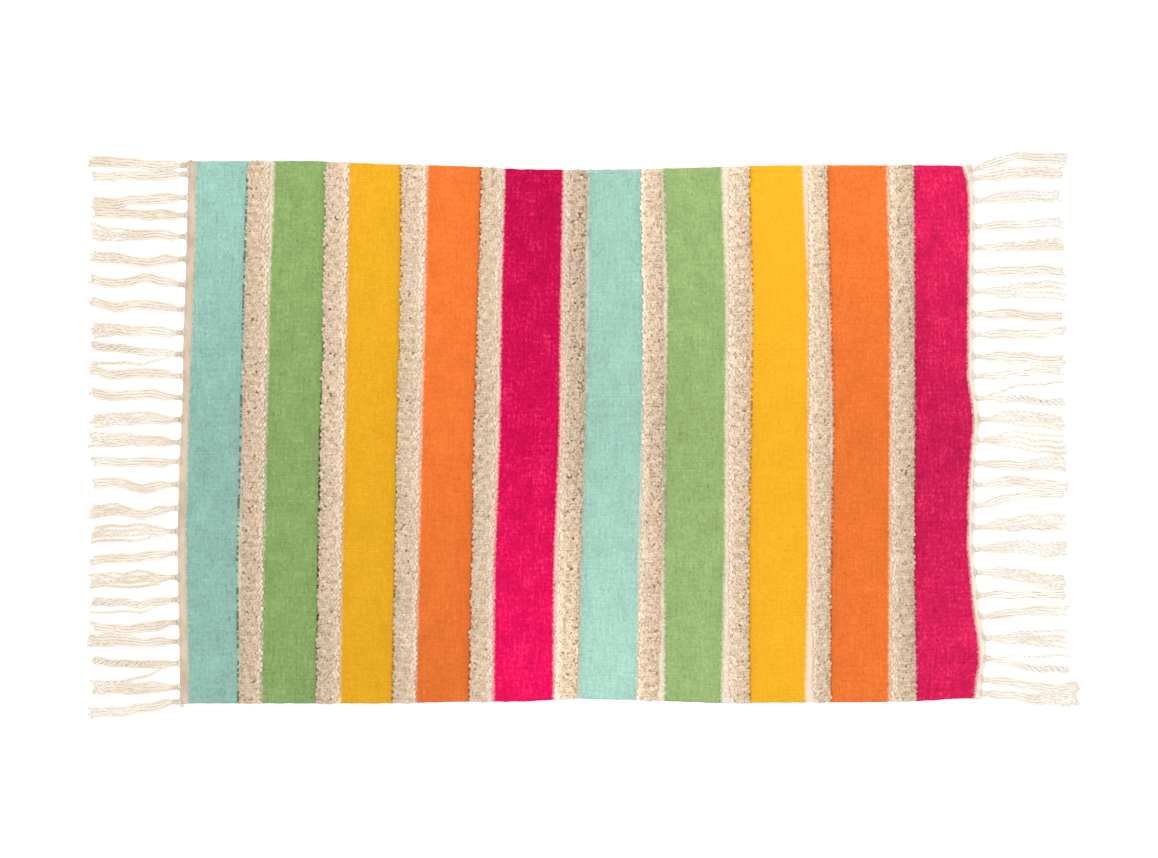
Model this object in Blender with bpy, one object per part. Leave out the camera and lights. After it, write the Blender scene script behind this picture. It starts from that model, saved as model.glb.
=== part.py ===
"""A tufted cotton rug with a knotted fringe at each end, lying flat.

The rug is a striped ground cloth, nine bands of cut pile across it, and a heading strip at
each end whose warps are knotted into tassels. X runs from fringe to fringe, Y from the front
selvedge to the back one, and Z is up. The origin is under the middle of the rug.
"""

import math
import random
from collections import namedtuple

import bpy
import bmesh
import numpy as np

MM = 0.001

# The ground cloth and the gap that parts the pieces, in millimetres as all sizes below
CLOTH_THICKNESS = 3.0
PIECE_GAP = 0.3
CLOTH_ROWS = 20

# The selvedges: how far back and forward the cloth reaches along its length
Selvedge = namedtuple("Selvedge", "x back front")
SELVEDGES = (
    Selvedge(x=-446, back=304.5, front=-303),
    Selvedge(x=-307, back=305, front=-303),
    Selvedge(x=-230, back=301.5, front=-303),
    Selvedge(x=-134, back=299, front=-301),
    Selvedge(x=-67, back=295.5, front=-301),
    Selvedge(x=-13, back=295, front=-297.5),
    Selvedge(x=54, back=295.5, front=-299),
    Selvedge(x=148, back=298, front=-302.5),
    Selvedge(x=215, back=300, front=-302),
    Selvedge(x=336, back=300, front=-301.5),
    Selvedge(x=395, back=300, front=-299.5),
    Selvedge(x=415, back=299.5, front=-297.5),
    Selvedge(x=437, back=298, front=-296),
)

# The ends of the cloth, from front to back: its cut edge, and the heading's outer edge
End = namedtuple("End", "y cloth heading")
LEFT_END = (
    End(y=-303, cloth=-444, heading=-452.5),
    End(y=-238, cloth=-444, heading=-453),
    End(y=-170, cloth=-446, heading=-454.5),
    End(y=-105, cloth=-447, heading=-455),
    End(y=-31, cloth=-444.5, heading=-453),
    End(y=37, cloth=-443, heading=-449.5),
    End(y=90, cloth=-440.5, heading=-449),
    End(y=150, cloth=-438.5, heading=-447),
    End(y=210, cloth=-436, heading=-445),
    End(y=304, cloth=-435, heading=-443),
)
RIGHT_END = (
    End(y=-297, cloth=436, heading=442),
    End(y=-283, cloth=439, heading=444),
    End(y=-260, cloth=443, heading=448),
    End(y=-236, cloth=442, heading=448.5),
    End(y=-198, cloth=437.5, heading=443),
    End(y=-128, cloth=431, heading=435.5),
    End(y=-80, cloth=431.5, heading=437),
    End(y=-22, cloth=434.5, heading=438.5),
    End(y=13, cloth=437, heading=442),
    End(y=40, cloth=434, heading=438.5),
    End(y=62, cloth=431, heading=436.5),
    End(y=150, cloth=431.5, heading=436),
    End(y=262, cloth=432.5, heading=437.5),
    End(y=284, cloth=429.5, heading=435.5),
    End(y=300, cloth=423.5, heading=431.5),
)

# Where the right end lifts off the floor: two ripples and the curled front corner
Ripple = namedtuple("Ripple", "x y height reach_x reach_y")
RIPPLES = (
    Ripple(x=440, y=16, height=4.0, reach_x=38, reach_y=48),
    Ripple(x=448, y=-240, height=4.5, reach_x=44, reach_y=52),
    Ripple(x=440, y=-300, height=7.0, reach_x=34, reach_y=36),
    Ripple(x=434, y=302, height=3.0, reach_x=26, reach_y=30),
)

# Bands of pile: where each crosses the back edge, the middle and the front edge of the cloth,
# how wide it is there, and how far its crown leans
Band = namedtuple("Band", "back middle front back_width middle_width front_width lean")
PILE_BANDS = (
    Band(-363, -369, -372.5, 22.5, 24, 22.5, -1),
    Band(-276, -281, -287, 25, 24, 24, -1),
    Band(-189, -196.5, -200.5, 25, 24, 24, -1),
    Band(-103, -111, -116, 21.5, 22.5, 24, -0.5),
    Band(-8.5, -12, -20.5, 22.5, 24, 24, 0.5),
    Band(75, 78, 68, 21.5, 22.5, 18, 0.5),
    Band(173.5, 173, 173.5, 21.5, 22.5, 20.5, 1),
    Band(261, 263.5, 266, 19.5, 21.5, 18, 1),
    Band(354, 356.5, 356, 24, 22.5, 24, 1),
)
BAND_PLACES = (-300, 0, 300)
PILE_HEIGHT = 9.0
PILE_OVERHANG = 1.6
PILE_STATIONS = 20
PILE_LUMP = 0.12
PILE_END_INSET = 5.0
PILE_END_TAPER = 0.74
# The pile's section, from the front foot over the crown, as shares of its width and height
PILE_SECTION = ((-0.33, 0.0), (-0.5, 0.38), (-0.4, 0.82), (0.0, 1.0), (0.4, 0.82), (0.5, 0.38), (0.33, 0.0))
LOCKS_ON_EACH_SIDE = 4
LOCK_LENGTH = 9.0
LOCK_ROOT = 5.6
LOCK_TIP = 2.6
LOCK_SIDES = 3
LOCK_PROUD = 2.2
LOCK_RISE = 0.55
LOCK_PLACE_WOBBLE = 0.3
LOCK_TURN_WOBBLE = 0.5
PILE_SEED = 100

# The fringe: a heading strip, and on it tassels of a neck, a knot and four strands
HEADING_THICKNESS = 2.4
STRANDS = 4
STRAND_WIDTH = 2.3
STRAND_HEIGHT = 1.9
STRAND_ROOT_WIDTH = 0.8
STRAND_ROOT_PITCH = 1.0
STRAND_ROOT_RISE = 1.3
STRAND_PITCH = 3.1
LEAST_STRAND_PITCH = 2.8
STRAND_WOBBLE = 0.3
FAN_DRIFT_SHARE = 0.4
UNEVEN_ENDS = 3.0
KNOT_REACH = 6.2
FAN_REACH = 20.0
SPREADING_PASSES = 80
WELD_DISTANCE = 0.02
FRINGE_SEED = 7

# Sections of a tassel's head, outward from the heading's edge
Head = namedtuple("Head", "out half_width half_height centre")
HEAD_SECTIONS = (
    Head(out=-1.5, half_width=4.4, half_height=0.9, centre=1.2),
    Head(out=1.6, half_width=2.0, half_height=1.4, centre=1.5),
    Head(out=4.8, half_width=3.3, half_height=2.7, centre=2.5),
    Head(out=8.2, half_width=2.6, half_height=1.9, centre=2.1),
)
HEAD_SIDES = 6

# Tassels from back to front: the knot, and how far the strands drift from it along their way
Tassel = namedtuple("Tassel", "knot middle far tip middle_spread tip_spread stray reach")
LEFT_TASSELS = (
    Tassel(300, 1, 4, 4, 8, 10, 0, 557),
    Tassel(290, -1, -2, -3, 8, 8, 0, 555),
    Tassel(264, -2, -5, -6, 9, 10, 0, 556),
    Tassel(244, 1, 2, 2, 9, 9, 0, 554),
    Tassel(220, 3, 2, 8, 9, 16, 0, 556),
    Tassel(195, -3, 1, 5, 9, 11, 0, 555),
    Tassel(166.5, 7, 1, 8, 9, 9, 0, 557),
    Tassel(138.5, 6, 3, 11, 9, 9, 0, 556),
    Tassel(112.5, 2, 3, 2, 9, 15, 0, 554),
    Tassel(88.5, 1, 5, 10, 10, 9, -14, 556),
    Tassel(64, 4, 1, 8, 9, 9, 0, 558),
    Tassel(40, 4, 2, 6, 9, 9, 0, 556),
    Tassel(15, 2, 0, -2, 12, 13, 0, 555),
    Tassel(-10.5, 2, 3, 3, 10, 15, 0, 557),
    Tassel(-32, 0, 0, 0, 9, 9, 0, 555),
    Tassel(-57.5, -4, 2, 2, 9, 10, 0, 556),
    Tassel(-84, -7, -2, -4, 9, 13, 0, 557),
    Tassel(-110, -1, -2, -5, 16, 16, 0, 555),
    Tassel(-134.5, -4, -6, -9, 9, 9, 0, 556),
    Tassel(-161.5, -2, -3, -4, 16, 13, 0, 557),
    Tassel(-186.5, -6, -4, -5, 9, 10, -6, 555),
    Tassel(-212, -6, -8, -2, 9, 9, 0, 556),
    Tassel(-233.5, -1, 1, 2, 9, 13, 0, 558),
    Tassel(-258, -3, -1, 2, 8, 9, -20, 556),
    Tassel(-284.5, -1, -1, -1, 11, 11, 0, 555),
    Tassel(-301, -7, -11, -12, 9, 10, 0, 558),
)
RIGHT_TASSELS = (
    Tassel(296, 13, 13, 9, 8, 12, 0, 543),
    Tassel(285.5, 6, 7, 6, 11, 12, 0, 541),
    Tassel(260.5, 5, 5, 6, 12, 12, 0, 538),
    Tassel(231.5, 2, 3, 6, 9, 12, 0, 539),
    Tassel(208, 1, 3, 4, 10, 13, 0, 541),
    Tassel(181.5, 0, 1, -3, 10, 9, 0, 541),
    Tassel(158.5, 1, 2, -1, 14, 21, 0, 543),
    Tassel(133.5, 0, -3, -3, 9, 8, 0, 539),
    Tassel(110.5, 0, 1, 6, 10, 9, 0, 543),
    Tassel(86, -1, -5, -5, 12, 11, 0, 541),
    Tassel(63.5, 2, 7, 8, 8, 8, 0, 539),
    Tassel(39, 1, -3, -4, 8, 8, 20, 542),
    Tassel(15.5, 2, -1, -7, 15, 14, 0, 541),
    Tassel(-8, 1, -4, -4, 18, 20, 0, 543),
    Tassel(-34, -2, 0, -1, 9, 15, 0, 544),
    Tassel(-57.5, 4, 0, -4, 10, 8, 0, 544),
    Tassel(-81.5, 10, 15, 12, 8, 8, 0, 542),
    Tassel(-105.5, 4, 6, 5, 14, 16, 0, 542),
    Tassel(-130.5, 4, 0, 2, 13, 14, 0, 543),
    Tassel(-156, -2, -9, -14, 12, 16, 0, 543),
    Tassel(-181.5, 0, 0, -1, 9, 8, 0, 543),
    Tassel(-205.5, 5, 6, 6, 9, 11, 0, 546),
    Tassel(-229.5, 0, 0, -4, 12, 20, 0, 547),
    Tassel(-252, -6, -11, -10, 8, 8, 11, 547),
    Tassel(-276, -4, -9, -8, 8, 9, 0, 557),
    Tassel(-291.5, -3, -7, -7, 9, 13, 0, 558),
)

# Where the strands' middle, far and longest stations lie, out from the rug's middle
Reach = namedtuple("Reach", "middle far longest")
LEFT_REACH = Reach(middle=492, far=522, longest=561)
RIGHT_REACH = Reach(middle=482, far=512, longest=560)
# How much of its final way a stray strand has gone at each station
STRAY_SHARES = (0.0, 0.4, 0.75, 1.0)

# Colours from the photograph, as linear values
COTTON = (0.76, 0.62, 0.45)
PILE_CREAM = (0.74, 0.56, 0.40)
STRIPED = (0.66, 0.35, 0.19)


def clear_scene():
    """Remove whatever objects the file starts with."""
    for thing in list(bpy.data.objects):
        bpy.data.objects.remove(thing, do_unlink=True)


def new_collection(name):
    """Make a collection under the scene's own."""
    collection = bpy.data.collections.new(name)
    bpy.context.scene.collection.children.link(collection)
    return collection


def cotton_material(name, colour):
    """Make a matt cotton material."""
    material = bpy.data.materials.new(name)
    material.use_nodes = True
    shader = material.node_tree.nodes["Principled BSDF"]
    shader.inputs["Base Color"].default_value = (*colour, 1.0)
    shader.inputs["Roughness"].default_value = 0.9
    shader.inputs["Metallic"].default_value = 0.0
    material.diffuse_color = (*colour, 1.0)
    return material


def object_from(shape, name, collection, material=None):
    """Turn a bmesh into a named object, with its normals outward."""
    bmesh.ops.recalc_face_normals(shape, faces=shape.faces[:])
    mesh = bpy.data.meshes.new(name)
    shape.to_mesh(mesh)
    shape.free()
    thing = bpy.data.objects.new(name, mesh)
    collection.objects.link(thing)
    if material:
        mesh.materials.append(material)
    return thing


def hide_helper(thing):
    """Mark an object that only helps to shape another."""
    thing.hide_render = True
    thing.display_type = "WIRE"


def read_table(rows, along, value, place):
    """Read a column of a table at a place between its rows."""
    places = [getattr(row, along) for row in rows]
    values = [getattr(row, value) for row in rows]
    return float(np.interp(place, places, values))


def bump(share):
    """Rise smoothly from 0 at the rim to 1 at the middle."""
    return math.cos(share * math.pi / 2) ** 2 if abs(share) < 1 else 0.0


def lift(x, y):
    """How high the cloth's underside is off the floor."""
    return max(
        ripple.height * bump((x - ripple.x) / ripple.reach_x) * bump((y - ripple.y) / ripple.reach_y)
        for ripple in RIPPLES
    )


def cloth_y(x, share):
    """The place between the selvedges of a share of the cloth's width."""
    front = read_table(SELVEDGES, "x", "front", x)
    back = read_table(SELVEDGES, "x", "back", x)
    return front + (back - front) * share


def end_x(end, edge, share):
    """Where one edge of an end lies, at a share of the cloth's width."""
    return read_table(end, "y", edge, cloth_y(end[0].cloth, share))


def sheet(columns, rows, place):
    """Make a flat grid, put each point where place says, by column and row."""
    shape = bmesh.new()
    bmesh.ops.create_grid(shape, x_segments=columns, y_segments=rows, size=0.5)
    for point in shape.verts:
        column = round((point.co.x + 0.5) * columns)
        row = round((point.co.y + 0.5) * rows)
        x, y, z = place(column, row)
        point.co = (x * MM, y * MM, z * MM)
    return shape


def thicken_upward(shape, thickness):
    """Turn a sheet into a slab with upright edges."""
    raised = bmesh.ops.extrude_face_region(shape, geom=shape.faces[:])
    points = [item for item in raised["geom"] if isinstance(item, bmesh.types.BMVert)]
    bmesh.ops.translate(shape, verts=points, vec=(0, 0, thickness * MM))


def make_ground(collection):
    """The striped cloth between the two headings."""
    first_x, last_x = SELVEDGES[0].x, SELVEDGES[-1].x

    def place(column, row):
        share = row / CLOTH_ROWS
        left = end_x(LEFT_END, "cloth", share)
        right = end_x(RIGHT_END, "cloth", share)
        along = (SELVEDGES[column].x - first_x) / (last_x - first_x)
        x = left + (right - left) * along
        y = cloth_y(x, share)
        return x, y, lift(x, y)

    shape = sheet(len(SELVEDGES) - 1, CLOTH_ROWS, place)
    thicken_upward(shape, CLOTH_THICKNESS)
    return object_from(shape, "ground", collection, cotton_material("striped cotton", STRIPED))


def loft(shape, rings):
    """Join like rings of points one after another and close both ends."""
    loops = [[shape.verts.new([c * MM for c in point]) for point in ring] for ring in rings]
    count = len(loops[0])
    for first, second in zip(loops, loops[1:]):
        for i in range(count):
            j = (i + 1) % count
            shape.faces.new((first[i], first[j], second[j], second[i]))
    shape.faces.new(loops[0])
    shape.faces.new(list(reversed(loops[-1])))


def band_x(band, y):
    """The middle line of a band of pile."""
    return float(np.interp(y, BAND_PLACES, (band.front, band.middle, band.back)))


def band_width(band, y):
    """How wide a band of pile is at a place across the rug."""
    return float(np.interp(y, BAND_PLACES, (band.front_width, band.middle_width, band.back_width)))


def make_pile_slab(band, name, collection, material, dice):
    """The lumpy body of one band of pile, a little smaller at its two ends."""
    front = read_table(SELVEDGES, "x", "front", band.front) - PILE_OVERHANG
    back = read_table(SELVEDGES, "x", "back", band.back) + PILE_OVERHANG
    floor = CLOTH_THICKNESS + PIECE_GAP
    places = list(np.linspace(front + PILE_END_INSET, back - PILE_END_INSET, PILE_STATIONS))
    rings = []
    for y in [front] + places + [back]:
        size = PILE_END_TAPER if y in (front, back) else 1.0
        width = band_width(band, y)
        shift = dice.uniform(-PILE_LUMP, PILE_LUMP) * width / 2
        ring = []
        for across, up in PILE_SECTION:
            wide = size * across * width * (1 + dice.uniform(-PILE_LUMP, PILE_LUMP))
            high = size * up * PILE_HEIGHT * (1 + dice.uniform(-PILE_LUMP, PILE_LUMP))
            ring.append((band_x(band, y) + (shift + band.lean) * up + wide, y, floor + high))
        rings.append(ring)
    shape = bmesh.new()
    loft(shape, rings)
    return object_from(shape, name, collection, material)


def add_lock(shape, x, y, z, toward, upward):
    """A tuft that sticks out of the pile's rim, from its root at a point inside."""
    flat = math.cos(upward)
    way = (math.cos(toward) * flat, math.sin(toward) * flat, math.sin(upward))
    side = (-math.sin(toward), math.cos(toward), 0)
    over = (-math.cos(toward) * math.sin(upward), -math.sin(toward) * math.sin(upward), flat)
    rings = []
    for out, radius in ((0, LOCK_ROOT / 2), (LOCK_LENGTH, LOCK_TIP / 2)):
        ring = []
        for corner in range(LOCK_SIDES):
            turn = 2 * math.pi * corner / LOCK_SIDES + math.pi / 2
            a, b = radius * math.cos(turn), radius * math.sin(turn)
            ring.append([c + way[i] * out + side[i] * a + over[i] * b for i, c in enumerate((x, y, z))])
        rings.append(ring)
    loft(shape, rings)


def make_pile_locks(band, name, helpers, dice):
    """The locks at the rim of one band: along both sides, and one at each end."""
    front = read_table(SELVEDGES, "x", "front", band.front)
    back = read_table(SELVEDGES, "x", "back", band.back)
    rise = CLOTH_THICKNESS + PILE_HEIGHT * LOCK_RISE
    shape = bmesh.new()
    for side, heading in ((-1, math.pi), (1, 0.0)):
        for lock in range(LOCKS_ON_EACH_SIDE):
            share = (lock + 0.5 + dice.uniform(-1, 1) * LOCK_PLACE_WOBBLE) / LOCKS_ON_EACH_SIDE
            y = front + (back - front) * share
            out = band_width(band, y) / 2 - LOCK_LENGTH + LOCK_PROUD
            x = band_x(band, y) + side * out + band.lean / 2
            toward = heading + dice.uniform(-1, 1) * LOCK_TURN_WOBBLE
            add_lock(shape, x, y, rise + dice.uniform(-0.6, 1.0), toward, dice.uniform(-0.1, 0.2))
    root = LOCK_LENGTH - LOCK_PROUD - PILE_OVERHANG
    for y, toward in ((front + root, -math.pi / 2), (back - root, math.pi / 2)):
        x = band_x(band, y) + dice.uniform(-3, 3)
        add_lock(shape, x, y, rise, toward + dice.uniform(-0.3, 0.3), 0.0)
    locks = object_from(shape, name, helpers)
    hide_helper(locks)
    return locks


def join_shapes(thing, helpers_used):
    """Fuse helper shapes into a piece with Boolean unions."""
    for helper in helpers_used:
        union = thing.modifiers.new("join " + helper.name, "BOOLEAN")
        union.operation = "UNION"
        union.solver = "EXACT"
        union.object = helper


def make_pile_band(index, band, collection, helpers, material):
    """One band of pile: a lumpy slab with locks at its rim."""
    dice = random.Random(PILE_SEED + index)
    slab = make_pile_slab(band, f"pile_band_{index}", collection, material, dice)
    locks = make_pile_locks(band, f"locks_{index}", helpers, dice)
    join_shapes(slab, [locks])


def heading_z(end, share):
    """How high a row of the heading lies: as high as the cloth's edge beside it."""
    x = end_x(end, "cloth", share)
    return lift(x, cloth_y(x, share))


def share_at(end, y):
    """The share of the cloth's width at a place along its end."""
    front, back = cloth_y(end[0].cloth, 0), cloth_y(end[0].cloth, 1)
    return min(max((y - front) / (back - front), 0.0), 1.0)


def make_heading(name, end, outward, collection, material):
    """The narrow strip that the tassels hang on, parted from the cloth's edge."""

    def place(column, row):
        share = row / CLOTH_ROWS
        edge = end_x(end, "cloth", share)
        x = edge + outward * PIECE_GAP
        if column == (1 if outward > 0 else 0):
            x = end_x(end, "heading", share)
        return x, cloth_y(edge, share), heading_z(end, share)

    shape = sheet(1, CLOTH_ROWS, place)
    thicken_upward(shape, HEADING_THICKNESS)
    return object_from(shape, name, collection, material)


def make_heads(name, end, outward, tassels, helpers):
    """The neck and knot of each tassel."""
    shape = bmesh.new()
    for tassel in tassels:
        edge = read_table(end, "y", "heading", tassel.knot)
        height = heading_z(end, share_at(end, tassel.knot))
        rings = []
        for step, section in enumerate(HEAD_SECTIONS):
            drop = height * (1 - step / len(HEAD_SECTIONS))
            ring = []
            for corner in range(HEAD_SIDES):
                turn = 2 * math.pi * corner / HEAD_SIDES
                y = tassel.knot + section.half_width * math.cos(turn)
                z = drop + section.centre + section.half_height * math.sin(turn)
                ring.append((edge + outward * section.out, y, z))
            rings.append(ring)
        loft(shape, rings)
    heads = object_from(shape, name, helpers)
    hide_helper(heads)
    return heads


def keep_apart(places, least):
    """Push neighbours in a rising row apart until no two are closer than this."""
    places = list(places)
    for _ in range(SPREADING_PASSES):
        for i in range(len(places) - 1):
            short = least - (places[i + 1] - places[i])
            if short > 0:
                places[i] -= short / 2
                places[i + 1] += short / 2
    return places


def strand_rows(tassels, dice):
    """Each strand's place across the rug at its four stations, from front to back."""
    stations = []
    for station in range(4):
        row = []
        for tassel in reversed(tassels):
            fan = FAN_DRIFT_SHARE * tassel.middle
            drift = (fan, tassel.middle, tassel.far, tassel.tip)[station]
            between = (tassel.middle_spread + tassel.tip_spread) / 2
            fan_spread = (STRANDS - 1) * STRAND_PITCH
            spreads = (fan_spread, tassel.middle_spread, between, tassel.tip_spread)
            astray = 0 if tassel.stray < 0 else STRANDS - 1
            for strand in range(STRANDS):
                offset = (strand / (STRANDS - 1) - 0.5) * spreads[station]
                if strand == astray:
                    offset += tassel.stray * STRAY_SHARES[station]
                row.append(tassel.knot + drift + offset + dice.uniform(-1, 1) * STRAND_WOBBLE)
        stations.append(keep_apart(row, LEAST_STRAND_PITCH))
    return stations


def strand_outline(helpers):
    """The three-sided section that a strand is swept with, flat on the floor."""
    curve = bpy.data.curves.new("strand outline", "CURVE")
    curve.dimensions = "2D"
    line = curve.splines.new("POLY")
    line.points.add(2)
    ratio = STRAND_HEIGHT / STRAND_WIDTH
    for point, (across, up) in zip(line.points, ((-0.5, 0.0), (0.5, 0.0), (0.0, ratio))):
        point.co = (across, up, 0, 1)
    line.use_cyclic_u = True
    outline = bpy.data.objects.new("strand outline", curve)
    helpers.objects.link(outline)
    hide_helper(outline)
    return outline


def mesh_from_curve(thing, name, helpers):
    """Turn a swept curve into a closed mesh and drop the curve."""
    bpy.context.view_layer.update()
    graph = bpy.context.evaluated_depsgraph_get()
    mesh = bpy.data.meshes.new_from_object(thing.evaluated_get(graph))
    shape = bmesh.new()
    shape.from_mesh(mesh)
    bmesh.ops.remove_doubles(shape, verts=shape.verts[:], dist=WELD_DISTANCE * MM)
    made = object_from(shape, name, helpers)
    made.matrix_world = thing.matrix_world
    bpy.data.objects.remove(thing, do_unlink=True)
    hide_helper(made)
    return made


def make_strands(name, end, outward, tassels, reach, helpers, dice):
    """The loose strands of one fringe, each lying level on the floor from just past its knot."""
    outline = strand_outline(helpers)
    curve = bpy.data.curves.new(name, "CURVE")
    curve.dimensions = "3D"
    curve.twist_mode = "Z_UP"
    curve.bevel_mode = "OBJECT"
    curve.bevel_object = outline
    curve.use_fill_caps = True
    stations = strand_rows(tassels, dice)
    for number, tassel in enumerate(reversed(tassels)):
        edge = read_table(end, "y", "heading", tassel.knot)
        height = heading_z(end, share_at(end, tassel.knot)) / len(HEAD_SECTIONS)
        for strand in range(STRANDS):
            ys = [row[number * STRANDS + strand] for row in stations]
            tip = min(tassel.reach + dice.uniform(-1, 1) * UNEVEN_ENDS, reach.longest)
            share = (tip - reach.far) / (reach.longest - reach.far)
            last_y = ys[2] + (ys[3] - ys[2]) * share
            root_y = tassel.knot + (strand - (STRANDS - 1) / 2) * STRAND_ROOT_PITCH
            points = (
                (edge + outward * KNOT_REACH, root_y, height + STRAND_ROOT_RISE, STRAND_ROOT_WIDTH),
                (edge + outward * FAN_REACH, ys[0], 0, STRAND_WIDTH),
                (outward * reach.middle, ys[1], 0, STRAND_WIDTH),
                (outward * reach.far, ys[2], 0, STRAND_WIDTH),
                (outward * tip, last_y, 0, STRAND_WIDTH),
            )
            line = curve.splines.new("POLY")
            line.points.add(len(points) - 1)
            for point, (x, y, z, width) in zip(line.points, points):
                point.co = (x * MM, y * MM, z * MM, 1)
                point.radius = width * MM
    swept = bpy.data.objects.new(name, curve)
    helpers.objects.link(swept)
    made = mesh_from_curve(swept, name, helpers)
    bpy.data.objects.remove(outline, do_unlink=True)
    return made


def make_fringe(side, end, outward, tassels, reach, collection, helpers, material):
    """One end of the rug: heading strip, knots and strands, fused where they meet."""
    dice = random.Random(FRINGE_SEED + outward)
    heading = make_heading(f"fringe_{side}", end, outward, collection, material)
    heads = make_heads(f"heads_{side}", end, outward, tassels, helpers)
    strands = make_strands(f"strands_{side}", end, outward, tassels, reach, helpers, dice)
    join_shapes(heading, [heads, strands])


def main():
    clear_scene()
    rug = new_collection("tufted_rug")
    helpers = new_collection("joining_shapes")
    make_ground(rug)
    pile = cotton_material("cream pile", PILE_CREAM)
    for index, band in enumerate(PILE_BANDS, start=1):
        make_pile_band(index, band, rug, helpers, pile)
    warp = cotton_material("natural cotton warp", COTTON)
    make_fringe("left", LEFT_END, -1, LEFT_TASSELS, LEFT_REACH, rug, helpers, warp)
    make_fringe("right", RIGHT_END, 1, RIGHT_TASSELS, RIGHT_REACH, rug, helpers, warp)


main()
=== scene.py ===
"""A tufted cotton rug with a knotted fringe at each end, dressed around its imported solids.

The striped cloth, the bands of cut pile and the two fringes are each made here in full, and
stand for the plain solids. X runs from fringe to fringe, Y from the front selvedge to the
back one, Z is up, and the lengths in the tables are in millimetres.
"""

import math
import random
from collections import namedtuple

import bpy
import numpy as np
from bpy.props import FloatProperty, FloatVectorProperty, PointerProperty
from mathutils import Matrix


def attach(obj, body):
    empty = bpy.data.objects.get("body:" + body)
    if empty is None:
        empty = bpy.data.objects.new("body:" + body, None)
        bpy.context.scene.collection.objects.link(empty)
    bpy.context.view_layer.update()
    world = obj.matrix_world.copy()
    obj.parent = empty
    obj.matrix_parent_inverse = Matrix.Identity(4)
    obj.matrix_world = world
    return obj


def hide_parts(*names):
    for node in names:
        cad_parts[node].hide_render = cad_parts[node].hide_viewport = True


bl_info = {
    "name": "Tufted Rug",
    "version": (1, 0, 0),
    "blender": (4, 5, 0),
    "location": "3D View > Sidebar > Rug",
    "description": "Makes a striped cotton rug with bands of cut pile and a knotted fringe",
    "category": "Add Mesh",
}

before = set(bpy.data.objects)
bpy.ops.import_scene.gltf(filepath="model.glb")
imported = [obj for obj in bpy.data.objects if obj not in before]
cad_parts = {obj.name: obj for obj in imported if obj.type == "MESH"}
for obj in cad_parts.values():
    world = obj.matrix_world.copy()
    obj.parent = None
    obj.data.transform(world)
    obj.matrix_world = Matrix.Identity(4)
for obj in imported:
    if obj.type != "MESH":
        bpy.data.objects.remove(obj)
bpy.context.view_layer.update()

MM = 0.001
PIECE_GAP = 0.3

# The camera is straight above, where the photograph was taken from
CAMERA_PLACE = (-0.0056, 0.0045, 1.803)
CAMERA_LENS = 50.0
CAMERA_SENSOR = 36.0


def table(name, columns, *rows):
    """Rows of numbers with named columns."""
    kind = namedtuple(name, columns)
    return tuple(kind(*row) for row in rows)


# The selvedges: how far back and forward the cloth reaches along its length
SELVEDGES = table(
    "Selvedge", "x back front",
    (-446, 304.5, -303),
    (-307, 305, -303),
    (-230, 301.5, -303),
    (-134, 299, -301),
    (-67, 295.5, -301),
    (-13, 295, -297.5),
    (54, 295.5, -299),
    (148, 298, -302.5),
    (215, 300, -302),
    (336, 300, -301.5),
    (395, 300, -299.5),
    (415, 299.5, -297.5),
    (437, 298, -296),
)

# The ends of the cloth, from front to back: its cut edge, and the heading's outer edge
LEFT_END = table(
    "End", "y cloth heading",
    (-303, -444, -452.5),
    (-238, -444, -453),
    (-170, -446, -454.5),
    (-105, -447, -455),
    (-31, -444.5, -453),
    (37, -443, -449.5),
    (90, -440.5, -449),
    (150, -438.5, -447),
    (210, -436, -445),
    (304, -435, -443),
)
RIGHT_END = table(
    "End", "y cloth heading",
    (-297, 436, 442),
    (-283, 439, 444),
    (-260, 443, 448),
    (-236, 442, 448.5),
    (-198, 437.5, 443),
    (-128, 431, 435.5),
    (-80, 431.5, 437),
    (-22, 434.5, 438.5),
    (13, 437, 442),
    (40, 434, 438.5),
    (62, 431, 436.5),
    (150, 431.5, 436),
    (262, 432.5, 437.5),
    (284, 429.5, 435.5),
    (300, 423.5, 431.5),
)

# Where the right end lifts off the floor: two ripples and the curled front corner
RIPPLES = table(
    "Ripple", "x y height reach_x reach_y",
    (440, 16, 4.0, 38, 48),
    (448, -240, 4.5, 44, 52),
    (440, -300, 7.0, 34, 36),
    (434, 302, 3.0, 26, 30),
)

# Bands of pile: where each crosses the back edge, the middle and the front edge of the cloth,
# how wide it is there, and how far its crown leans
PILE_BANDS = table(
    "Band", "back middle front back_width middle_width front_width lean",
    (-363, -369, -372.5, 22.5, 24, 22.5, -1),
    (-276, -281, -287, 25, 24, 24, -1),
    (-189, -196.5, -200.5, 25, 24, 24, -1),
    (-103, -111, -116, 21.5, 22.5, 24, -0.5),
    (-8.5, -12, -20.5, 22.5, 24, 24, 0.5),
    (75, 78, 70.8, 21.5, 22.5, 21, 0.5),
    (173.5, 173, 173.5, 21.5, 22.5, 20.5, 1),
    (261, 263.5, 266, 19.5, 21.5, 18, 1),
    (354, 356.5, 356, 24, 22.5, 24, 1),
)
BAND_PLACES = (-300, 0, 300)

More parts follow.
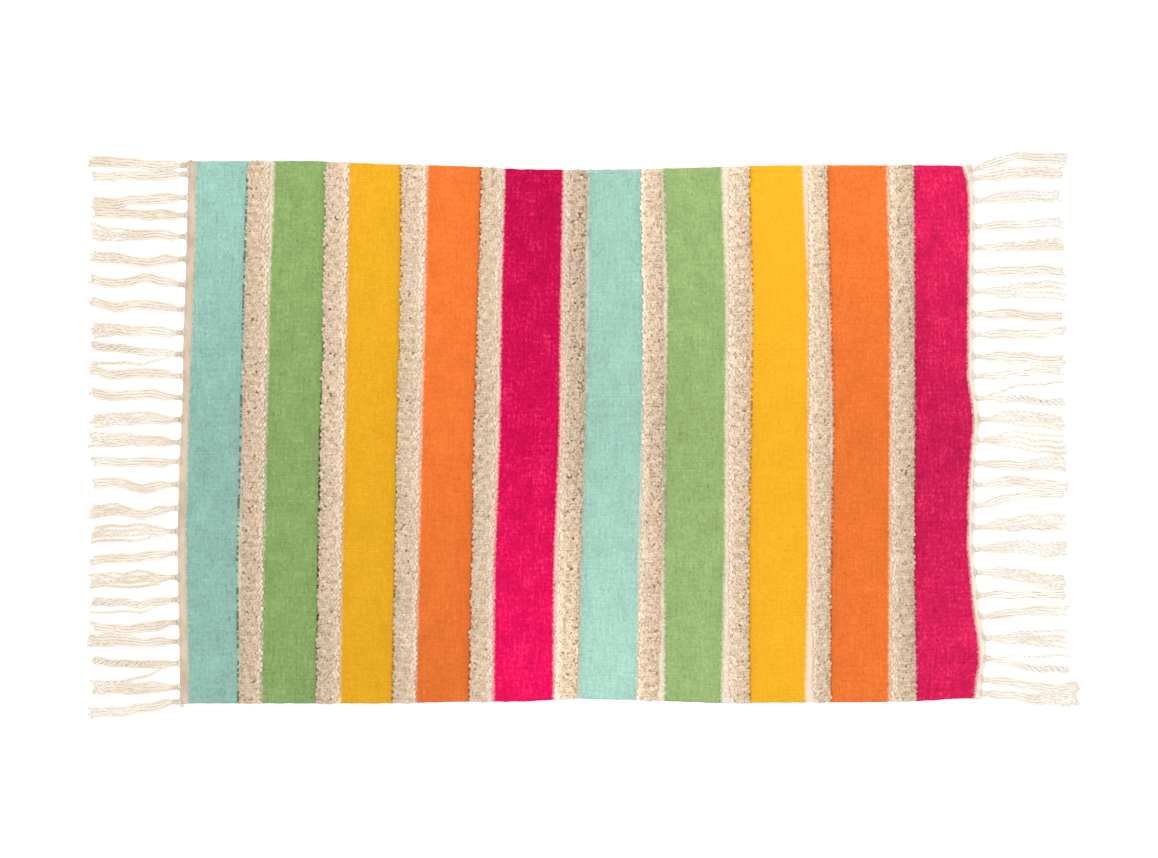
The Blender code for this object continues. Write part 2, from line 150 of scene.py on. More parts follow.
# Tassels from back to front: the knot, how far the strands drift from it at their three stations
# and how far they spread, how far one strays (forward where the number is below 0), and its reach
TASSEL_COLUMNS = "knot middle far tip middle_spread tip_spread stray reach"
LEFT_TASSELS = table(
    "Tassel", TASSEL_COLUMNS,
    (300, 1, 4, 4, 8, 10, 0, 557),
    (290, -1, -2, -3, 8, 8, 0, 555),
    (264, -2, -5, -6, 9, 10, 0, 556),
    (244, 1, 2, 2, 9, 9, 0, 554),
    (220, 3, 2, 8, 9, 16, 0, 556),
    (195, -3, 1, 5, 9, 11, 0, 555),
    (166.5, 7, 1, 8, 9, 9, 0, 557),
    (138.5, 6, 3, 11, 9, 9, 0, 556),
    (112.5, 2, 3, 2, 9, 15, 0, 554),
    (88.5, 1, 5, 10, 10, 9, -14, 556),
    (64, 4, 1, 8, 9, 9, 0, 558),
    (40, 4, 2, 6, 9, 9, 0, 556),
    (15, 2, 0, -2, 12, 13, 0, 555),
    (-10.5, 2, 3, 3, 10, 15, 0, 557),
    (-32, 0, 0, 0, 9, 9, 0, 555),
    (-57.5, -4, 2, 2, 9, 10, 0, 556),
    (-84, -7, -2, -4, 9, 13, 0, 557),
    (-110, -1, -2, -5, 16, 16, 0, 555),
    (-134.5, -4, -6, -9, 9, 9, 0, 556),
    (-161.5, -2, -3, -4, 16, 13, 0, 557),
    (-186.5, -6, -4, -5, 9, 10, -6, 555),
    (-212, -6, -8, -2, 9, 9, 0, 556),
    (-233.5, -1, 1, 2, 9, 13, 0, 558),
    (-258, -3, -1, 2, 8, 9, -20, 556),
    (-284.5, -1, -1, -1, 11, 11, 0, 555),
    (-301, -7, -11, -12, 9, 10, 0, 558),
)
RIGHT_TASSELS = table(
    "Tassel", TASSEL_COLUMNS,
    (296, 13, 13, 9, 8, 12, 0, 543),
    (285.5, 6, 7, 6, 11, 12, 0, 541),
    (260.5, 5, 5, 6, 12, 12, 0, 538),
    (231.5, 2, 3, 6, 9, 12, 0, 539),
    (208, 1, 3, 4, 10, 13, 0, 541),
    (181.5, 0, 1, -3, 10, 9, 0, 541),
    (158.5, 1, 2, -1, 14, 21, 0, 543),
    (133.5, 0, -3, -3, 9, 8, 0, 539),
    (110.5, 0, 1, 6, 10, 9, 0, 543),
    (86, -1, -5, -5, 12, 11, 0, 541),
    (63.5, 2, 7, 8, 8, 8, 0, 539),
    (39, 1, -3, -4, 8, 8, 20, 542),
    (15.5, 2, -1, -7, 15, 14, 0, 541),
    (-8, 1, -4, -4, 18, 20, 0, 543),
    (-34, -2, 0, -1, 9, 15, 0, 544),
    (-57.5, 4, 0, -4, 10, 8, 0, 544),
    (-81.5, 10, 15, 12, 8, 8, 0, 542),
    (-105.5, 4, 6, 5, 14, 16, 0, 542),
    (-130.5, 4, 0, 2, 13, 14, 0, 543),
    (-156, -2, -9, -14, 12, 16, 0, 543),
    (-181.5, 0, 0, -1, 9, 8, 0, 543),
    (-205.5, 5, 6, 6, 9, 11, 0, 546),
    (-229.5, 0, 0, -4, 12, 20, 0, 547),
    (-252, -6, -11, -10, 8, 8, 11, 547),
    (-276, -4, -9, -8, 8, 9, 0, 557),
    (-291.5, -3, -7, -7, 9, 13, 0, 558),
)

# The two fringes: where the strands' middle, far and longest stations lie, out from the rug's
# middle, and how far past the heading's edge the knots sit
FRINGES = table(
    "Fringe", "side outward end tassels middle far longest knot_out",
    ("left", -1, LEFT_END, LEFT_TASSELS, 492, 522, 561, 5.3),
    ("right", 1, RIGHT_END, RIGHT_TASSELS, 482, 512, 560, 4.2),
)
# What each end's heading, yarns and ties are: the colours of their light and dark places, and
# how their grain is stretched
ALONG, ACROSS, TIED = (0.35, 1.0, 1.0), (1.0, 0.6, 1.0), (0.6, 1.0, 1.0)
COTTONS = {
    "left": (
        ("heading strip", "heading", "heading_shade", ACROSS),
        ("natural warp", "yarn", "yarn_shade", ALONG),
        ("tied yarn", "knot", "knot_shade", TIED),
    ),
    "right": (
        ("pale heading strip", "pale_heading", "knot", ACROSS),
        ("pale natural warp", "pale_yarn", "pale_yarn_shade", ALONG),
        ("pale tied yarn", "pale_knot", "knot", TIED),
    ),
}
# How much of its final way a stray strand has gone at each station
STRAY_SHARES = (0.0, 0.4, 0.75, 1.0)
# Heights of the pieces, and the numbers that shape the tassels as they lie in the solids
CLOTH_THICKNESS = 3.0
PILE_HEIGHT = 9.0
PILE_OVERHANG = 1.6
HEADING_THICKNESS = 2.4
HEAD_STEPS = 4
STRANDS = 4
STRAND_ROOT_PITCH = 1.0
STRAND_ROOT_RISE = 1.3
STRAND_PITCH = 3.1
LEAST_STRAND_PITCH = 2.8
STRAND_WOBBLE = 0.3
FAN_DRIFT_SHARE = 0.4
UNEVEN_ENDS = 3.0
KNOT_REACH = 6.2
FAN_REACH = 20.0
SPREADING_PASSES = 80
FRINGE_SEED = 7
PILE_SEED = 100

# The colour stripes from left to right: the dye, how strong it took at the back, the middle and
# the front, how washed out it is, and how mottled
STRIPES = table(
    "Stripe", "dye back middle front wash mottle",
    ("aqua", 1.25, 1.0, 1.04, 0.0, 1.15),
    ("green", 1.1, 1.0, 0.99, 0.0, 1.2),
    ("yellow", 1.12, 1.03, 1.0, 0.0, 0.62),
    ("orange", 1.12, 1.05, 0.95, 0.0, 0.85),
    ("pink", 0.84, 0.98, 1.3, 0.0, 1.6),
    ("aqua", 1.26, 1.2, 1.45, 0.03, 1.0),
    ("green", 1.22, 1.1, 1.22, 0.04, 1.2),
    ("yellow", 1.3, 1.15, 1.18, 0.0, 0.5),
    ("orange", 1.16, 1.0, 1.06, 0.0, 0.9),
    ("pink", 1.16, 0.88, 1.06, 0.012, 1.8),
)
DYE_SHARES = (0.05, 0.5, 0.95)

# The stripes' edges after the first one's left end, at five places from back to front, and how
# strong the painted shadow is in the gaps between the stripe and a band of pile
EDGES = table(
    "Edge", "back mid_back middle mid_front front gaps",
    (-375, -379.5, -382.5, -386.5, -385.5, 1.0),
    (-346.5, -352, -355.5, -358.5, -361, 0.0),
    (-285, -287, -293, -295, -296, 1.4),
    (-263, -265.5, -268, -271, -273, 0.0),
    (-204, -202, -207, -209.5, -213, 0.9),
    (-175.5, -178, -182, -185, -188, 0.0),
    (-113.5, -115.5, -121.5, -123.5, -127, 0.9),
    (-89, -93, -95, -100.5, -101.5, 0.0),
    (-23, -25.5, -27, -33, -34, 0.0),
    (5, 4, 1, -3, -6, 0.0),
    (64, 67, 65, 61.5, 59.5, 0.0),
    (89, 93.8, 90.8, 89.4, 90.5, 0.4),
    (154, 159, 158, 157.5, 154, 0.0),
    (183.5, 188, 186, 181.5, 184.5, 0.75),
    (245, 251.5, 251, 251.5, 248, 0.0),
    (270.5, 275, 278.5, 275.5, 273.5, 0.75),
    (339.2, 343.3, 342.8, 342, 341.4, 0.0),
    (368.5, 369.5, 369.5, 368.5, 371.5, 0.85),
)
# How far forward of the rug's middle those five places are
EDGE_PLACES = (-283.6, -149.1, -1.1, 142.4, 282.5)
# The straightened cloth: where its two ends lie, its width and its length
CLOTH_START = -444.0
CLOTH_STOP = 437.0
CLOTH_WIDTH = 607.0

# The cloth's grid: its mesh size, and the narrow columns and rows beside edges
GRID_STEP = 4.4
EDGE_HALO = 4.4
LAST_STRIP = 1.3
SELVEDGE_STEPS = (0.0, 0.9, 2.4)
SELVEDGE_DROPS = (1.3, 0.35, 0.0)
END_DROP_START = 0.9
# The cloth's uneven face and its wavy selvedges
RELIEF = 0.28
RELIEF_LENGTH = 26.0
SELVEDGE_WAVE = 0.275
SELVEDGE_WAVE_LENGTH = 17.0
# How the dye lies: the pale end, the mottle and the ragged edges of the stripes; and the painted
# shade between the warp ribs, and the painted shadow in the gaps beside the pile
END_PALE = 0.7
TONE_CONTRAST = 0.5
RIB_SHADE = 0.07
RAGGED = 1.4
LIGHT_FIBRES = 0.035
GAP_SHADOW_REACH = 1.7
GAP_SHADOW_TINT = (0.38, 0.31, 0.28)
# Single wefts and warps that took the dye unevenly: their grain across and along, and its strength
THREADS = table(
    "Thread", "grain share",
    ((0.36, 0.035, 1.0), 0.1),
    ((0.035, 0.36, 1.0), 0.085),
)
# How deep the fine relief of the weave, the pile and the yarn is, and how dark the painted shade in the
# pile's hollows is
WEAVE_RELIEF, PILE_RELIEF, YARN_RELIEF = 0.34, 0.4, 0.2
HOLLOW_SHADE = 0.62

# Cotton has next to no shine, and light goes a little way into its loose yarn
COTTON_GLOSS = 0.05
YARN_SOFTNESS = 0.6
YARN_GLOW = (1.0, 0.95, 0.9)
YARN_DEPTH = 1.6

# Cut tufts of the pile, and how uneven they are
TUFTS_ACROSS = 8
TUFT_SIDES = 6
TUFT_FOOT = 0.7
TUFT_RINGS = ((0.84, 1.0), (0.975, 0.78))
TUFT_PEAK = 0.025
TUFT_BEND = 1.5
TUFT_JITTER = 0.45
TUFT_SHIFT = 0.035
TUFT_WANDER = 0.5
UNEVEN_HEIGHT = 0.035
UNEVEN_WIDTH = 0.14
# A band's crown, its rim and its wandering middle line
CROWN_DROP = 0.42
CROWN_POWER = 2.6
RIM_SPLAY = 1.2
LEAN_SHARE = 0.55
BAND_INSET = 5.4
SHARE_SPAN = 0.93
END_INSET = 5.8
BAND_WANDER = 0.7
BAND_WANDER_LENGTH = 40.0
# Low tufts, which leave dark pits by their real shadow and by the painted shade of their low ends, and soft
# blotches of tone
PIT_SHARE = 0.016
PIT_SIDE_SHARE = 2.6
PIT_HEIGHT = 0.52
PIT_CLUSTER = 16.0
PIT_GATHERING = 1.3
DARK_PITS = 5.0
BLOTCH_LENGTH = 8.0
BLOTCH_SHARE = 0.72
# The lit side of a band, which faces the middle of the rug: painted lighter, with less painted shade down
# between its tufts, and with lower, wider tufts
LIT_POWER = 1.7
LIT_SIDE = 0.85
LIT_TONE = 1.0
LIT_DROP = 0.3
LIT_WIDER = 0.42
LIT_LIFT = 0.04
LIT_LEAN = 0.6
# How pale each band of pile is at the front, the middle and the back, and how speckled
PALENESS = table(
    "Pale", "front middle back speckle",
    (0.87, 0.87, 0.98, 0.95),
    (0.86, 0.96, 1.0, 0.95),
    (0.92, 0.93, 1.03, 0.85),
    (0.98, 0.9, 1.0, 0.85),
    (1.25, 0.86, 0.87, 1.45),
    (1.09, 0.94, 1.13, 1.35),
    (1.02, 1.0, 1.1, 1.35),
    (0.96, 1.0, 1.13, 1.25),
    (0.93, 0.9, 1.0, 1.05),
)

# The four yarns of each strand, and how they fray and sway
YARN_STEP = 3.4
YARN_SIDES_EXTRA = 1
YARNS_IN_STRAND = 4
YARN_SPREAD = 0.31
YARN_RISE = 1.15
YARN_LIFT = 0.55
WIDEST_PITCH = 5.5
ROOT_YARN_SHARE = 0.62
TIP_YARN_SHARE = 0.5
FRAY_LENGTH = 9.0
FRAY_SPREAD = 0.9
TASSEL_SWAY = 0.7
STRAND_SWAY = 0.35
SWAY_START = 12.0
# The gathered warps of a neck, from the heading into the knot
NECK_YARNS = 6
NECK_YARN_RADIUS = 0.95
NECK_WOBBLE = 0.25
NECK_ROUNDING = 0.35
NECK_TAPER = 0.05
NECK = table(
    "Neck", "out spread rise",
    (-4.0, 6.2, 1.2),
    (-1.6, 5.4, 1.9),
    (0.3, 4.2, 1.75),
    (1.9, 2.6, 1.8),
    (3.6, 1.6, 2.4),
    (6.2, 1.4, 2.5),
)
# A knot's core, and the place, tilt and lean of each of its two wraps
KNOT_CORE = 2.3
KNOT_CORE_SHAPE = (1.35, 1.2, 1.0)
KNOT_WRAPS = ((-1.35, 0.3, -0.2), (1.25, -0.35, 0.25))
WRAP_RADIUS = 1.95
WRAP_THICKNESS = 1.2
KNOT_SHAPE = (1.0, 1.12, 0.92)
KNOT_SIZE = 0.9
KNOT_RISE = 2.75
# The heading's ribs, its rims and its wavy outer edge
HEADING_COLUMNS = 6
HEADING_ROWS = 380
HEADING_RELIEF = 0.3
HEADING_GAP = 0.05
RIB_PITCH = 2.9
RIB_SLANT = 2.5
HEADING_RIM_DROP = 0.7
HEADING_INNER_RISE = 0.25
HEADING_WAVE = 0.35
HEADING_WAVE_PITCH = 2.1

# The floor and the studio lamp, in metres
FLOOR_SIZE = 9.0
LAMP_PLACE = (-0.15, 0.4, 2.8)
LAMP_SIZE = 3.2


def column(rows, name):
    """One column of a table as an array."""
    return np.array([getattr(row, name) for row in rows], float)


def read_table(rows, along, value, place):
    """Read a column of a table at places between its rows."""
    return np.interp(place, column(rows, along), column(rows, value))


def bump(share):
    """Rise smoothly from 0 at the rim to 1 at the middle."""
    return np.where(np.abs(share) < 1, np.cos(np.clip(share, -1, 1) * np.pi / 2) ** 2, 0.0)


def lift(x, y):
    """How high the cloth's underside is off the floor."""
    humps = [
        ripple.height * bump((x - ripple.x) / ripple.reach_x) * bump((y - ripple.y) / ripple.reach_y)
        for ripple in RIPPLES
    ]
    return np.max(humps, axis=0)


def cloth_y(x, share):
    """The place between the selvedges of a share of the cloth's width."""
    front = read_table(SELVEDGES, "x", "front", x)
    back = read_table(SELVEDGES, "x", "back", x)
    return front + (back - front) * share


def end_x(end, edge, share):
    """Where one edge of an end lies, at a share of the cloth's width."""
    return read_table(end, "y", edge, cloth_y(end[0].cloth, share))


def band_x(band, y):
    """The middle line of a band of pile."""
    return np.interp(y, BAND_PLACES, (band.front, band.middle, band.back))


def band_width(band, y):
    """How wide a band of pile is along its middle line."""
    return np.interp(y, BAND_PLACES, (band.front_width, band.middle_width, band.back_width))


def uneven(x, y, length, seed):
    """A smooth uneven surface between about -1 and 1, with humps of about this length."""
    dice = np.random.RandomState(seed)
    total = 0.0
    for _ in range(8):
        turn, shift = dice.uniform(0, 2 * np.pi, 2)
        wave = 2 * np.pi / (length * dice.uniform(0.7, 1.5))
        total = total + np.sin(wave * (x * np.cos(turn) + y * np.sin(turn)) + shift)
    return total / 4


def turned(first, second, angle):
    """Two coordinates after a turn by an angle."""
    c, s = np.cos(angle), np.sin(angle)
    return c * first - s * second, s * first + c * second


# Meshes


def add_object(name, data):
    """Put an object with this data in the scene."""
    thing = bpy.data.objects.new(name, data)
    bpy.context.scene.collection.objects.link(thing)
    return thing


def deselect_all():
    for thing in bpy.context.selected_objects:
        thing.select_set(False)


def only(thing):
    """Select one object and make it the active one."""
    deselect_all()
    thing.select_set(True)
    bpy.context.view_layer.objects.active = thing


def select_faces(piece, test):
    """Go into edit mode with only the faces that pass a test selected."""
    only(piece)
    bpy.ops.object.mode_set(mode="EDIT")
    bpy.ops.mesh.select_mode(type="FACE")
    bpy.ops.mesh.select_all(action="DESELECT")
    bpy.ops.object.mode_set(mode="OBJECT")
    for face in piece.data.polygons:
        face.select = test(face)
    bpy.ops.object.mode_set(mode="EDIT")


def get_points(piece):
    points = np.empty(len(piece.data.vertices) * 3, np.float32)
    piece.data.vertices.foreach_get("co", points)
    return points.reshape(-1, 3).astype(float)


def set_points(piece, points):
    piece.data.vertices.foreach_set("co", np.asarray(points, np.float32).ravel())
    piece.data.update()


def smooth(piece):
    piece.data.polygons.foreach_set("use_smooth", np.ones(len(piece.data.polygons), bool))


def add_attribute(piece, name, values, kind="FLOAT"):
    """Give every point of a piece a number or a colour that its material reads."""
    attribute = piece.data.attributes.new(name, kind, "POINT")
    field = "color" if kind == "FLOAT_COLOR" else "value"
    attribute.data.foreach_set(field, np.asarray(values, np.float32).ravel())


def take_attribute(piece, name):
    """Read a number of every point that was only needed while modelling, and take it away."""
    attribute = piece.data.attributes[name]
    values = np.empty(len(piece.data.vertices), np.float32)
    attribute.data.foreach_get("value", values)
    piece.data.attributes.remove(attribute)
    return values


def edit_whole(piece):
    """Go into edit mode with everything selected."""
    only(piece)
    bpy.ops.object.mode_set(mode="EDIT")
    bpy.ops.mesh.select_all(action="SELECT")


def face_outward(piece):
    edit_whole(piece)
    bpy.ops.mesh.normals_make_consistent(inside=False)
    bpy.ops.object.mode_set(mode="OBJECT")


def raise_sheet(piece, thickness):
    """Give a flat grid its thickness, with a wall round its rim."""
    edit_whole(piece)
    bpy.ops.mesh.extrude_region_move(TRANSFORM_OT_translate={"value": (0, 0, thickness * MM)})
    bpy.ops.object.mode_set(mode="OBJECT")
    face_outward(piece)


def add_grid(name, columns, rows):
    """A flat grid, with the column and row of each of its points."""
    deselect_all()
    bpy.ops.mesh.primitive_grid_add(x_subdivisions=columns, y_subdivisions=rows, size=1)
    grid = bpy.context.object
    grid.name = grid.data.name = name
    points = get_points(grid)
    column_of = np.rint((points[:, 0] + 0.5) * columns).astype(int)
    row_of = np.rint((points[:, 1] + 0.5) * rows).astype(int)
    return grid, column_of, row_of


def take_model(piece):
    """The points and faces of a small model that is copied, and not kept itself."""
    points, faces = get_points(piece), [tuple(face.vertices) for face in piece.data.polygons]
    bpy.data.objects.remove(piece, do_unlink=True)
    return points, faces


def repeated_mesh(name, faces, points):
    """One mesh of many copies of a small one: points is copies by points by three."""
    copies, size = points.shape[:2]
    every = [tuple(corner + size * copy for corner in face) for copy in range(copies) for face in faces]
    mesh = bpy.data.meshes.new(name)
    mesh.from_pydata(points.reshape(-1, 3).tolist(), [], every)
    piece = add_object(name, mesh)
    smooth(piece)
    mesh.update()
    return piece


def join(pieces, name):
    """Join pieces into the first one."""
    deselect_all()
    for piece in pieces:
        piece.select_set(True)
    bpy.context.view_layer.objects.active = pieces[0]
    bpy.ops.object.join()
    pieces[0].name = pieces[0].data.name = name
    return pieces[0]


def dress(piece, material):
    piece.data.materials.clear()
    piece.data.materials.append(material)


# Material graphs


class Graph:
    """Adds nodes to a node tree, and links or sets their inputs by name or place."""

    def __init__(self, tree):
        self.tree = tree

    def add(self, kind, inputs=None, **settings):
        node = self.tree.nodes.new(kind if kind.startswith("Node") else "ShaderNode" + kind)
        for name, value in settings.items():
            setattr(node, name, value)
        for place, value in (inputs or {}).items():
            self.give(node.inputs[place], value)
        return node

    def give(self, socket, value):
        """Link a value to a socket, or set it; colours are opaque."""
        if isinstance(value, bpy.types.NodeSocket):
            self.tree.links.new(value, socket)
        else:
            socket.default_value = (*value, 1.0) if socket.type == "RGBA" else value

    def math(self, operation, *values, clamp=False):
        return self.add("Math", dict(enumerate(values)), operation=operation, use_clamp=clamp).outputs[0]

    def plus(self, first, second):
        return self.math("ADD", first, second)

    def times(self, first, second, clamp=False):
        return self.math("MULTIPLY", first, second, clamp=clamp)

    def vector(self, operation, *values):
        return self.add("VectorMath", dict(enumerate(values)), operation=operation).outputs[0]

    def mix(self, share, first, second, blend="MIX"):
        node = self.add("Mix", {"Factor": share}, data_type="RGBA", blend_type=blend)
        for socket, value in zip([s for s in node.inputs if s.type == "RGBA"], (first, second)):
            self.give(socket, value)
        return next(s for s in node.outputs if s.type == "RGBA")

    def noise(self, place, scale, detail=2.0, roughness=0.5, stretch=None):
        """Noise with this many humps a millimetre, stretched along an axis."""
        if stretch:
            place = self.vector("MULTIPLY", place, stretch)
        values = {"Vector": place, "Scale": scale, "Detail": detail, "Roughness": roughness}
        return self.add("TexNoise", values).outputs[0]

    def span(self, value, low, high, start=0.0, stop=1.0):
        """Stretch a value from one span to another, held at its ends."""
        values = {"Value": value, "From Min": low, "From Max": high, "To Min": start, "To Max": stop}
        return self.add("MapRange", values, clamp=True).outputs[0]

    def shaded(self, colour, value):
        """A colour made lighter or darker by a value."""
        grey = self.add("CombineColor", dict.fromkeys(range(3), value))
        return self.mix(1.0, colour, grey.outputs[0], "MULTIPLY")

    def attribute(self, name):
        return self.add("Attribute", attribute_name=name).outputs["Fac"]

    def millimetres(self):
        """The place on the piece, in millimetres."""
        return self.vector("MULTIPLY", self.add("TexCoord").outputs["Object"], (1 / MM,) * 3)

    def group(self, make, inputs):
        """A shared node group, made at its first use."""
        tree = bpy.data.node_groups.get(make.__name__.replace("_", " ")) or make()
        return self.add("Group", inputs, node_tree=tree).outputs

    def relief(self, shader, height, distance, strength):
        """Give the shader a fine relief, as deep as this many millimetres."""
        bump = self.add("Bump", {"Height": height, "Distance": distance * MM, "Strength": strength})
        self.give(shader["Normal"], bump.outputs[0])


def new_group(name, takes, gives):
    """Start a shader node group with named inputs and outputs."""
    tree = bpy.data.node_groups.new(name, "ShaderNodeTree")
    for label, kind, default in takes:
        socket = tree.interface.new_socket(label, in_out="INPUT", socket_type="NodeSocket" + kind)
        if default is not None:
            socket.default_value = default
    for label in gives:
        tree.interface.new_socket(label, in_out="OUTPUT", socket_type="NodeSocketFloat")
    graph = Graph(tree)
    return graph, graph.add("NodeGroupInput").outputs, graph.add("NodeGroupOutput").inputs


def woven_picks():
    """Wefts packed over warps: the height of each small float, and the ribs over the warps."""
    takes = (("Place", "Vector", None), ("Pick", "Float", 1.6), ("Warp", "Float", 3.4))
    graph, given, result = new_group("woven picks", takes, ("Height", "Rib", "Tone"))
    wander = graph.add("TexNoise", {"Vector": given["Place"], "Scale": 0.12, "Detail": 1.0}).outputs["Color"]
    place = graph.vector("MULTIPLY_ADD", wander, (1.6, 1.6, 1.6), given["Place"])
    parts = graph.add("SeparateXYZ", {0: place}).outputs
    counts = [graph.math("DIVIDE", parts[axis], given[size]) for axis, size in (("X", "Pick"), ("Y", "Warp"))]
    pick, rib = [graph.math("SINE", graph.times(graph.math("FRACT", count), math.pi)) for count in counts]
    graph.give(result["Rib"], rib)
    graph.give(result["Height"], graph.times(graph.math("POWER", pick, 0.6), rib))
    cell = graph.add("CombineXYZ", {axis: graph.math("FLOOR", count) for axis, count in zip("XY", counts)})
    graph.give(result["Tone"], graph.add("TexWhiteNoise", {"Vector": cell.outputs[0]}).outputs[0])
    return graph.tree


def cotton_mottle():
    """Uneven dye: fine flecks as long as the yarns show, and soft clouds, both from 0 to 1."""
    takes = (
        ("Place", "Vector", None), ("Stretch", "Vector", (1.0, 1.0, 1.0)),
        ("Fleck", "Float", 0.9), ("Cloud", "Float", 0.05),
    )
    graph, given, result = new_group("cotton mottle", takes, ("Flecks", "Clouds"))
    place = graph.vector("MULTIPLY", given["Place"], given["Stretch"])
    graph.give(result["Flecks"], graph.span(graph.noise(place, given["Fleck"], 3.0, 0.6), 0.25, 0.75))
    graph.give(result["Clouds"], graph.span(graph.noise(place, given["Cloud"], 3.0), 0.3, 0.7))
    return graph.tree


def new_material(name, roughness):
    """A material with a plain shader, and the graph that feeds it."""
    material = bpy.data.materials.new(name)
    material.use_nodes = True
    shader = material.node_tree.nodes["Principled BSDF"].inputs
    shader["Roughness"].default_value = roughness
    shader["Specular IOR Level"].default_value = COTTON_GLOSS
    return material, Graph(material.node_tree), shader


def striped_cotton(colours):
    """Weft-faced cotton: dyed stripes with pale ragged edges, painted shade between the warp ribs, and a
    painted shadow in the gaps beside the pile.
    """
    material, graph, shader = new_material("striped cotton", 0.9)
    place = graph.vector("MULTIPLY", graph.add("UVMap", uv_map="cloth").outputs[0], (1 / MM,) * 3)
    dye = graph.add("Attribute", attribute_name="dye").outputs
    inside, gap_shadow_strength = graph.attribute("inside"), graph.attribute("gap_shadow_strength")
    picks = graph.group(woven_picks, {"Place": place})
    mottle = graph.group(
        cotton_mottle, {"Place": place, "Stretch": (1.0, 0.7, 1.0), "Fleck": 0.36, "Cloud": 0.045}
    )
    ragged = graph.span(graph.noise(place, 0.3, 3.0, 0.65), 0.3, 0.7, -RAGGED, RAGGED)
    edge = graph.plus(ragged, inside)
    undyed = graph.mix(graph.span(edge, -2.9, 0.1, 0.0, 0.42), colours.ground, dye["Color"])
    colour = graph.mix(graph.span(edge, -0.5, 2.1), undyed, dye["Color"])
    specks = graph.noise(place, 0.24, 3.0, 0.6, stretch=(1.0, 0.55, 1.0))
    tone = graph.plus(graph.times(mottle["Flecks"], 0.5), graph.times(picks["Tone"], 0.2))
    tone = graph.plus(graph.plus(tone, graph.times(mottle["Clouds"], 0.24)), -0.5)
    tone = graph.math("SUBTRACT", tone, graph.span(specks, 0.62, 0.72, 0.0, 0.5))
    for thread in THREADS:
        streaks = graph.noise(place, 1.0, 1.0, stretch=thread.grain)
        tone = graph.plus(tone, graph.span(streaks, 0.3, 0.7, -thread.share, thread.share))
    value = graph.math("MULTIPLY_ADD", graph.times(tone, dye["Alpha"]), TONE_CONTRAST, 1.0)
    # Painted shade: the colour darkens in the valleys between the warp ribs; the tone itself is the dye's
    # mottle
    colour = graph.shaded(colour, graph.times(value, graph.span(picks["Rib"], 0.0, 0.7, 1 - RIB_SHADE)))
    light = graph.times(graph.span(tone, 0.05, 0.4, 0.0, LIGHT_FIBRES), dye["Alpha"])
    colour = graph.mix(light, colour, colours.fleck)
    # Painted shadow: dark dots along the stripe's edge where the pile leaves gaps, tinted darker and browner
    gap_shadow_dots = graph.span(graph.noise(place, 0.2, 1.0, stretch=(0.5, 1.25, 1.0)), 0.47, 0.55)
    beside = graph.math("ABSOLUTE", graph.math("SUBTRACT", inside, graph.times(gap_shadow_strength, GAP_SHADOW_REACH)))
    gap = graph.times(gap_shadow_dots, graph.times(graph.span(beside, 1.9, 0.8), gap_shadow_strength))
    dark = graph.mix(0.55, graph.mix(1.0, colour, GAP_SHADOW_TINT, "MULTIPLY"), colours.gap)
    graph.give(shader["Base Color"], graph.mix(graph.times(gap, 0.8), colour, dark))
    graph.give(shader["Roughness"], graph.span(mottle["Flecks"], 0.0, 1.0, 0.97, 0.86))
    height = graph.plus(picks["Height"], graph.times(mottle["Flecks"], 0.6))
    graph.relief(shader, height, WEAVE_RELIEF, 0.8)
    return material


def cream_pile(colours):
    """Cut pile: light at the tuft ends, with painted shade down between them and in soft hollows, painted
    lighter on the side that faces the middle, each tuft a little different.
    """
    material, graph, shader = new_material("cream pile", 0.95)
    place = graph.millimetres()
    mottle = graph.group(cotton_mottle, {"Place": place, "Stretch": (1.0, 0.9, 0.6)})
    names = ("depth", "tone", "speckle", "paleness")
    depth, tone, speckle, paleness = [graph.attribute(name) for name in names]
    own = graph.mix(graph.span(tone, 0.0, 1.0), colours.pile_shade, colours.pile)
    # Painted light: tufts on the lit side take a lighter colour
    own = graph.mix(graph.span(tone, 0.9, 2.0), own, colours.pile_light)
    # Painted shade: each tuft darkens towards its root, down between the tufts
    colour = graph.mix(graph.span(depth, 0.3, 0.75), colours.pile_root, own)
    # Painted shade: soft dark hollows in the pile, fewer on its lit side
    spots = graph.noise(place, 0.3, 2.0, 0.6, stretch=(1.0, 1.0, 0.0))
    painted_hollows = graph.times(graph.span(spots, 0.54, 0.63, 0.0, HOLLOW_SHADE), graph.span(tone, 1.5, 1.0))
    painted_hollows = graph.times(painted_hollows, speckle, clamp=True)
    colour = graph.mix(painted_hollows, colour, colours.pile_root)
    fine = graph.span(mottle["Flecks"], 0.0, 1.0, 0.88, 1.09)
    patch = graph.span(mottle["Clouds"], 0.0, 1.0, 0.93, 1.05)
    graph.give(shader["Base Color"], graph.shaded(colour, graph.times(graph.times(fine, patch), paleness)))
    fibres = graph.noise(place, 2.4, 3.0, 0.7, stretch=(1.0, 1.0, 0.3))
    graph.relief(shader, fibres, PILE_RELIEF, 0.5)
    graph.give(shader["Roughness"], graph.span(fibres, 0.0, 1.0, 1.0, 0.88))
    return material


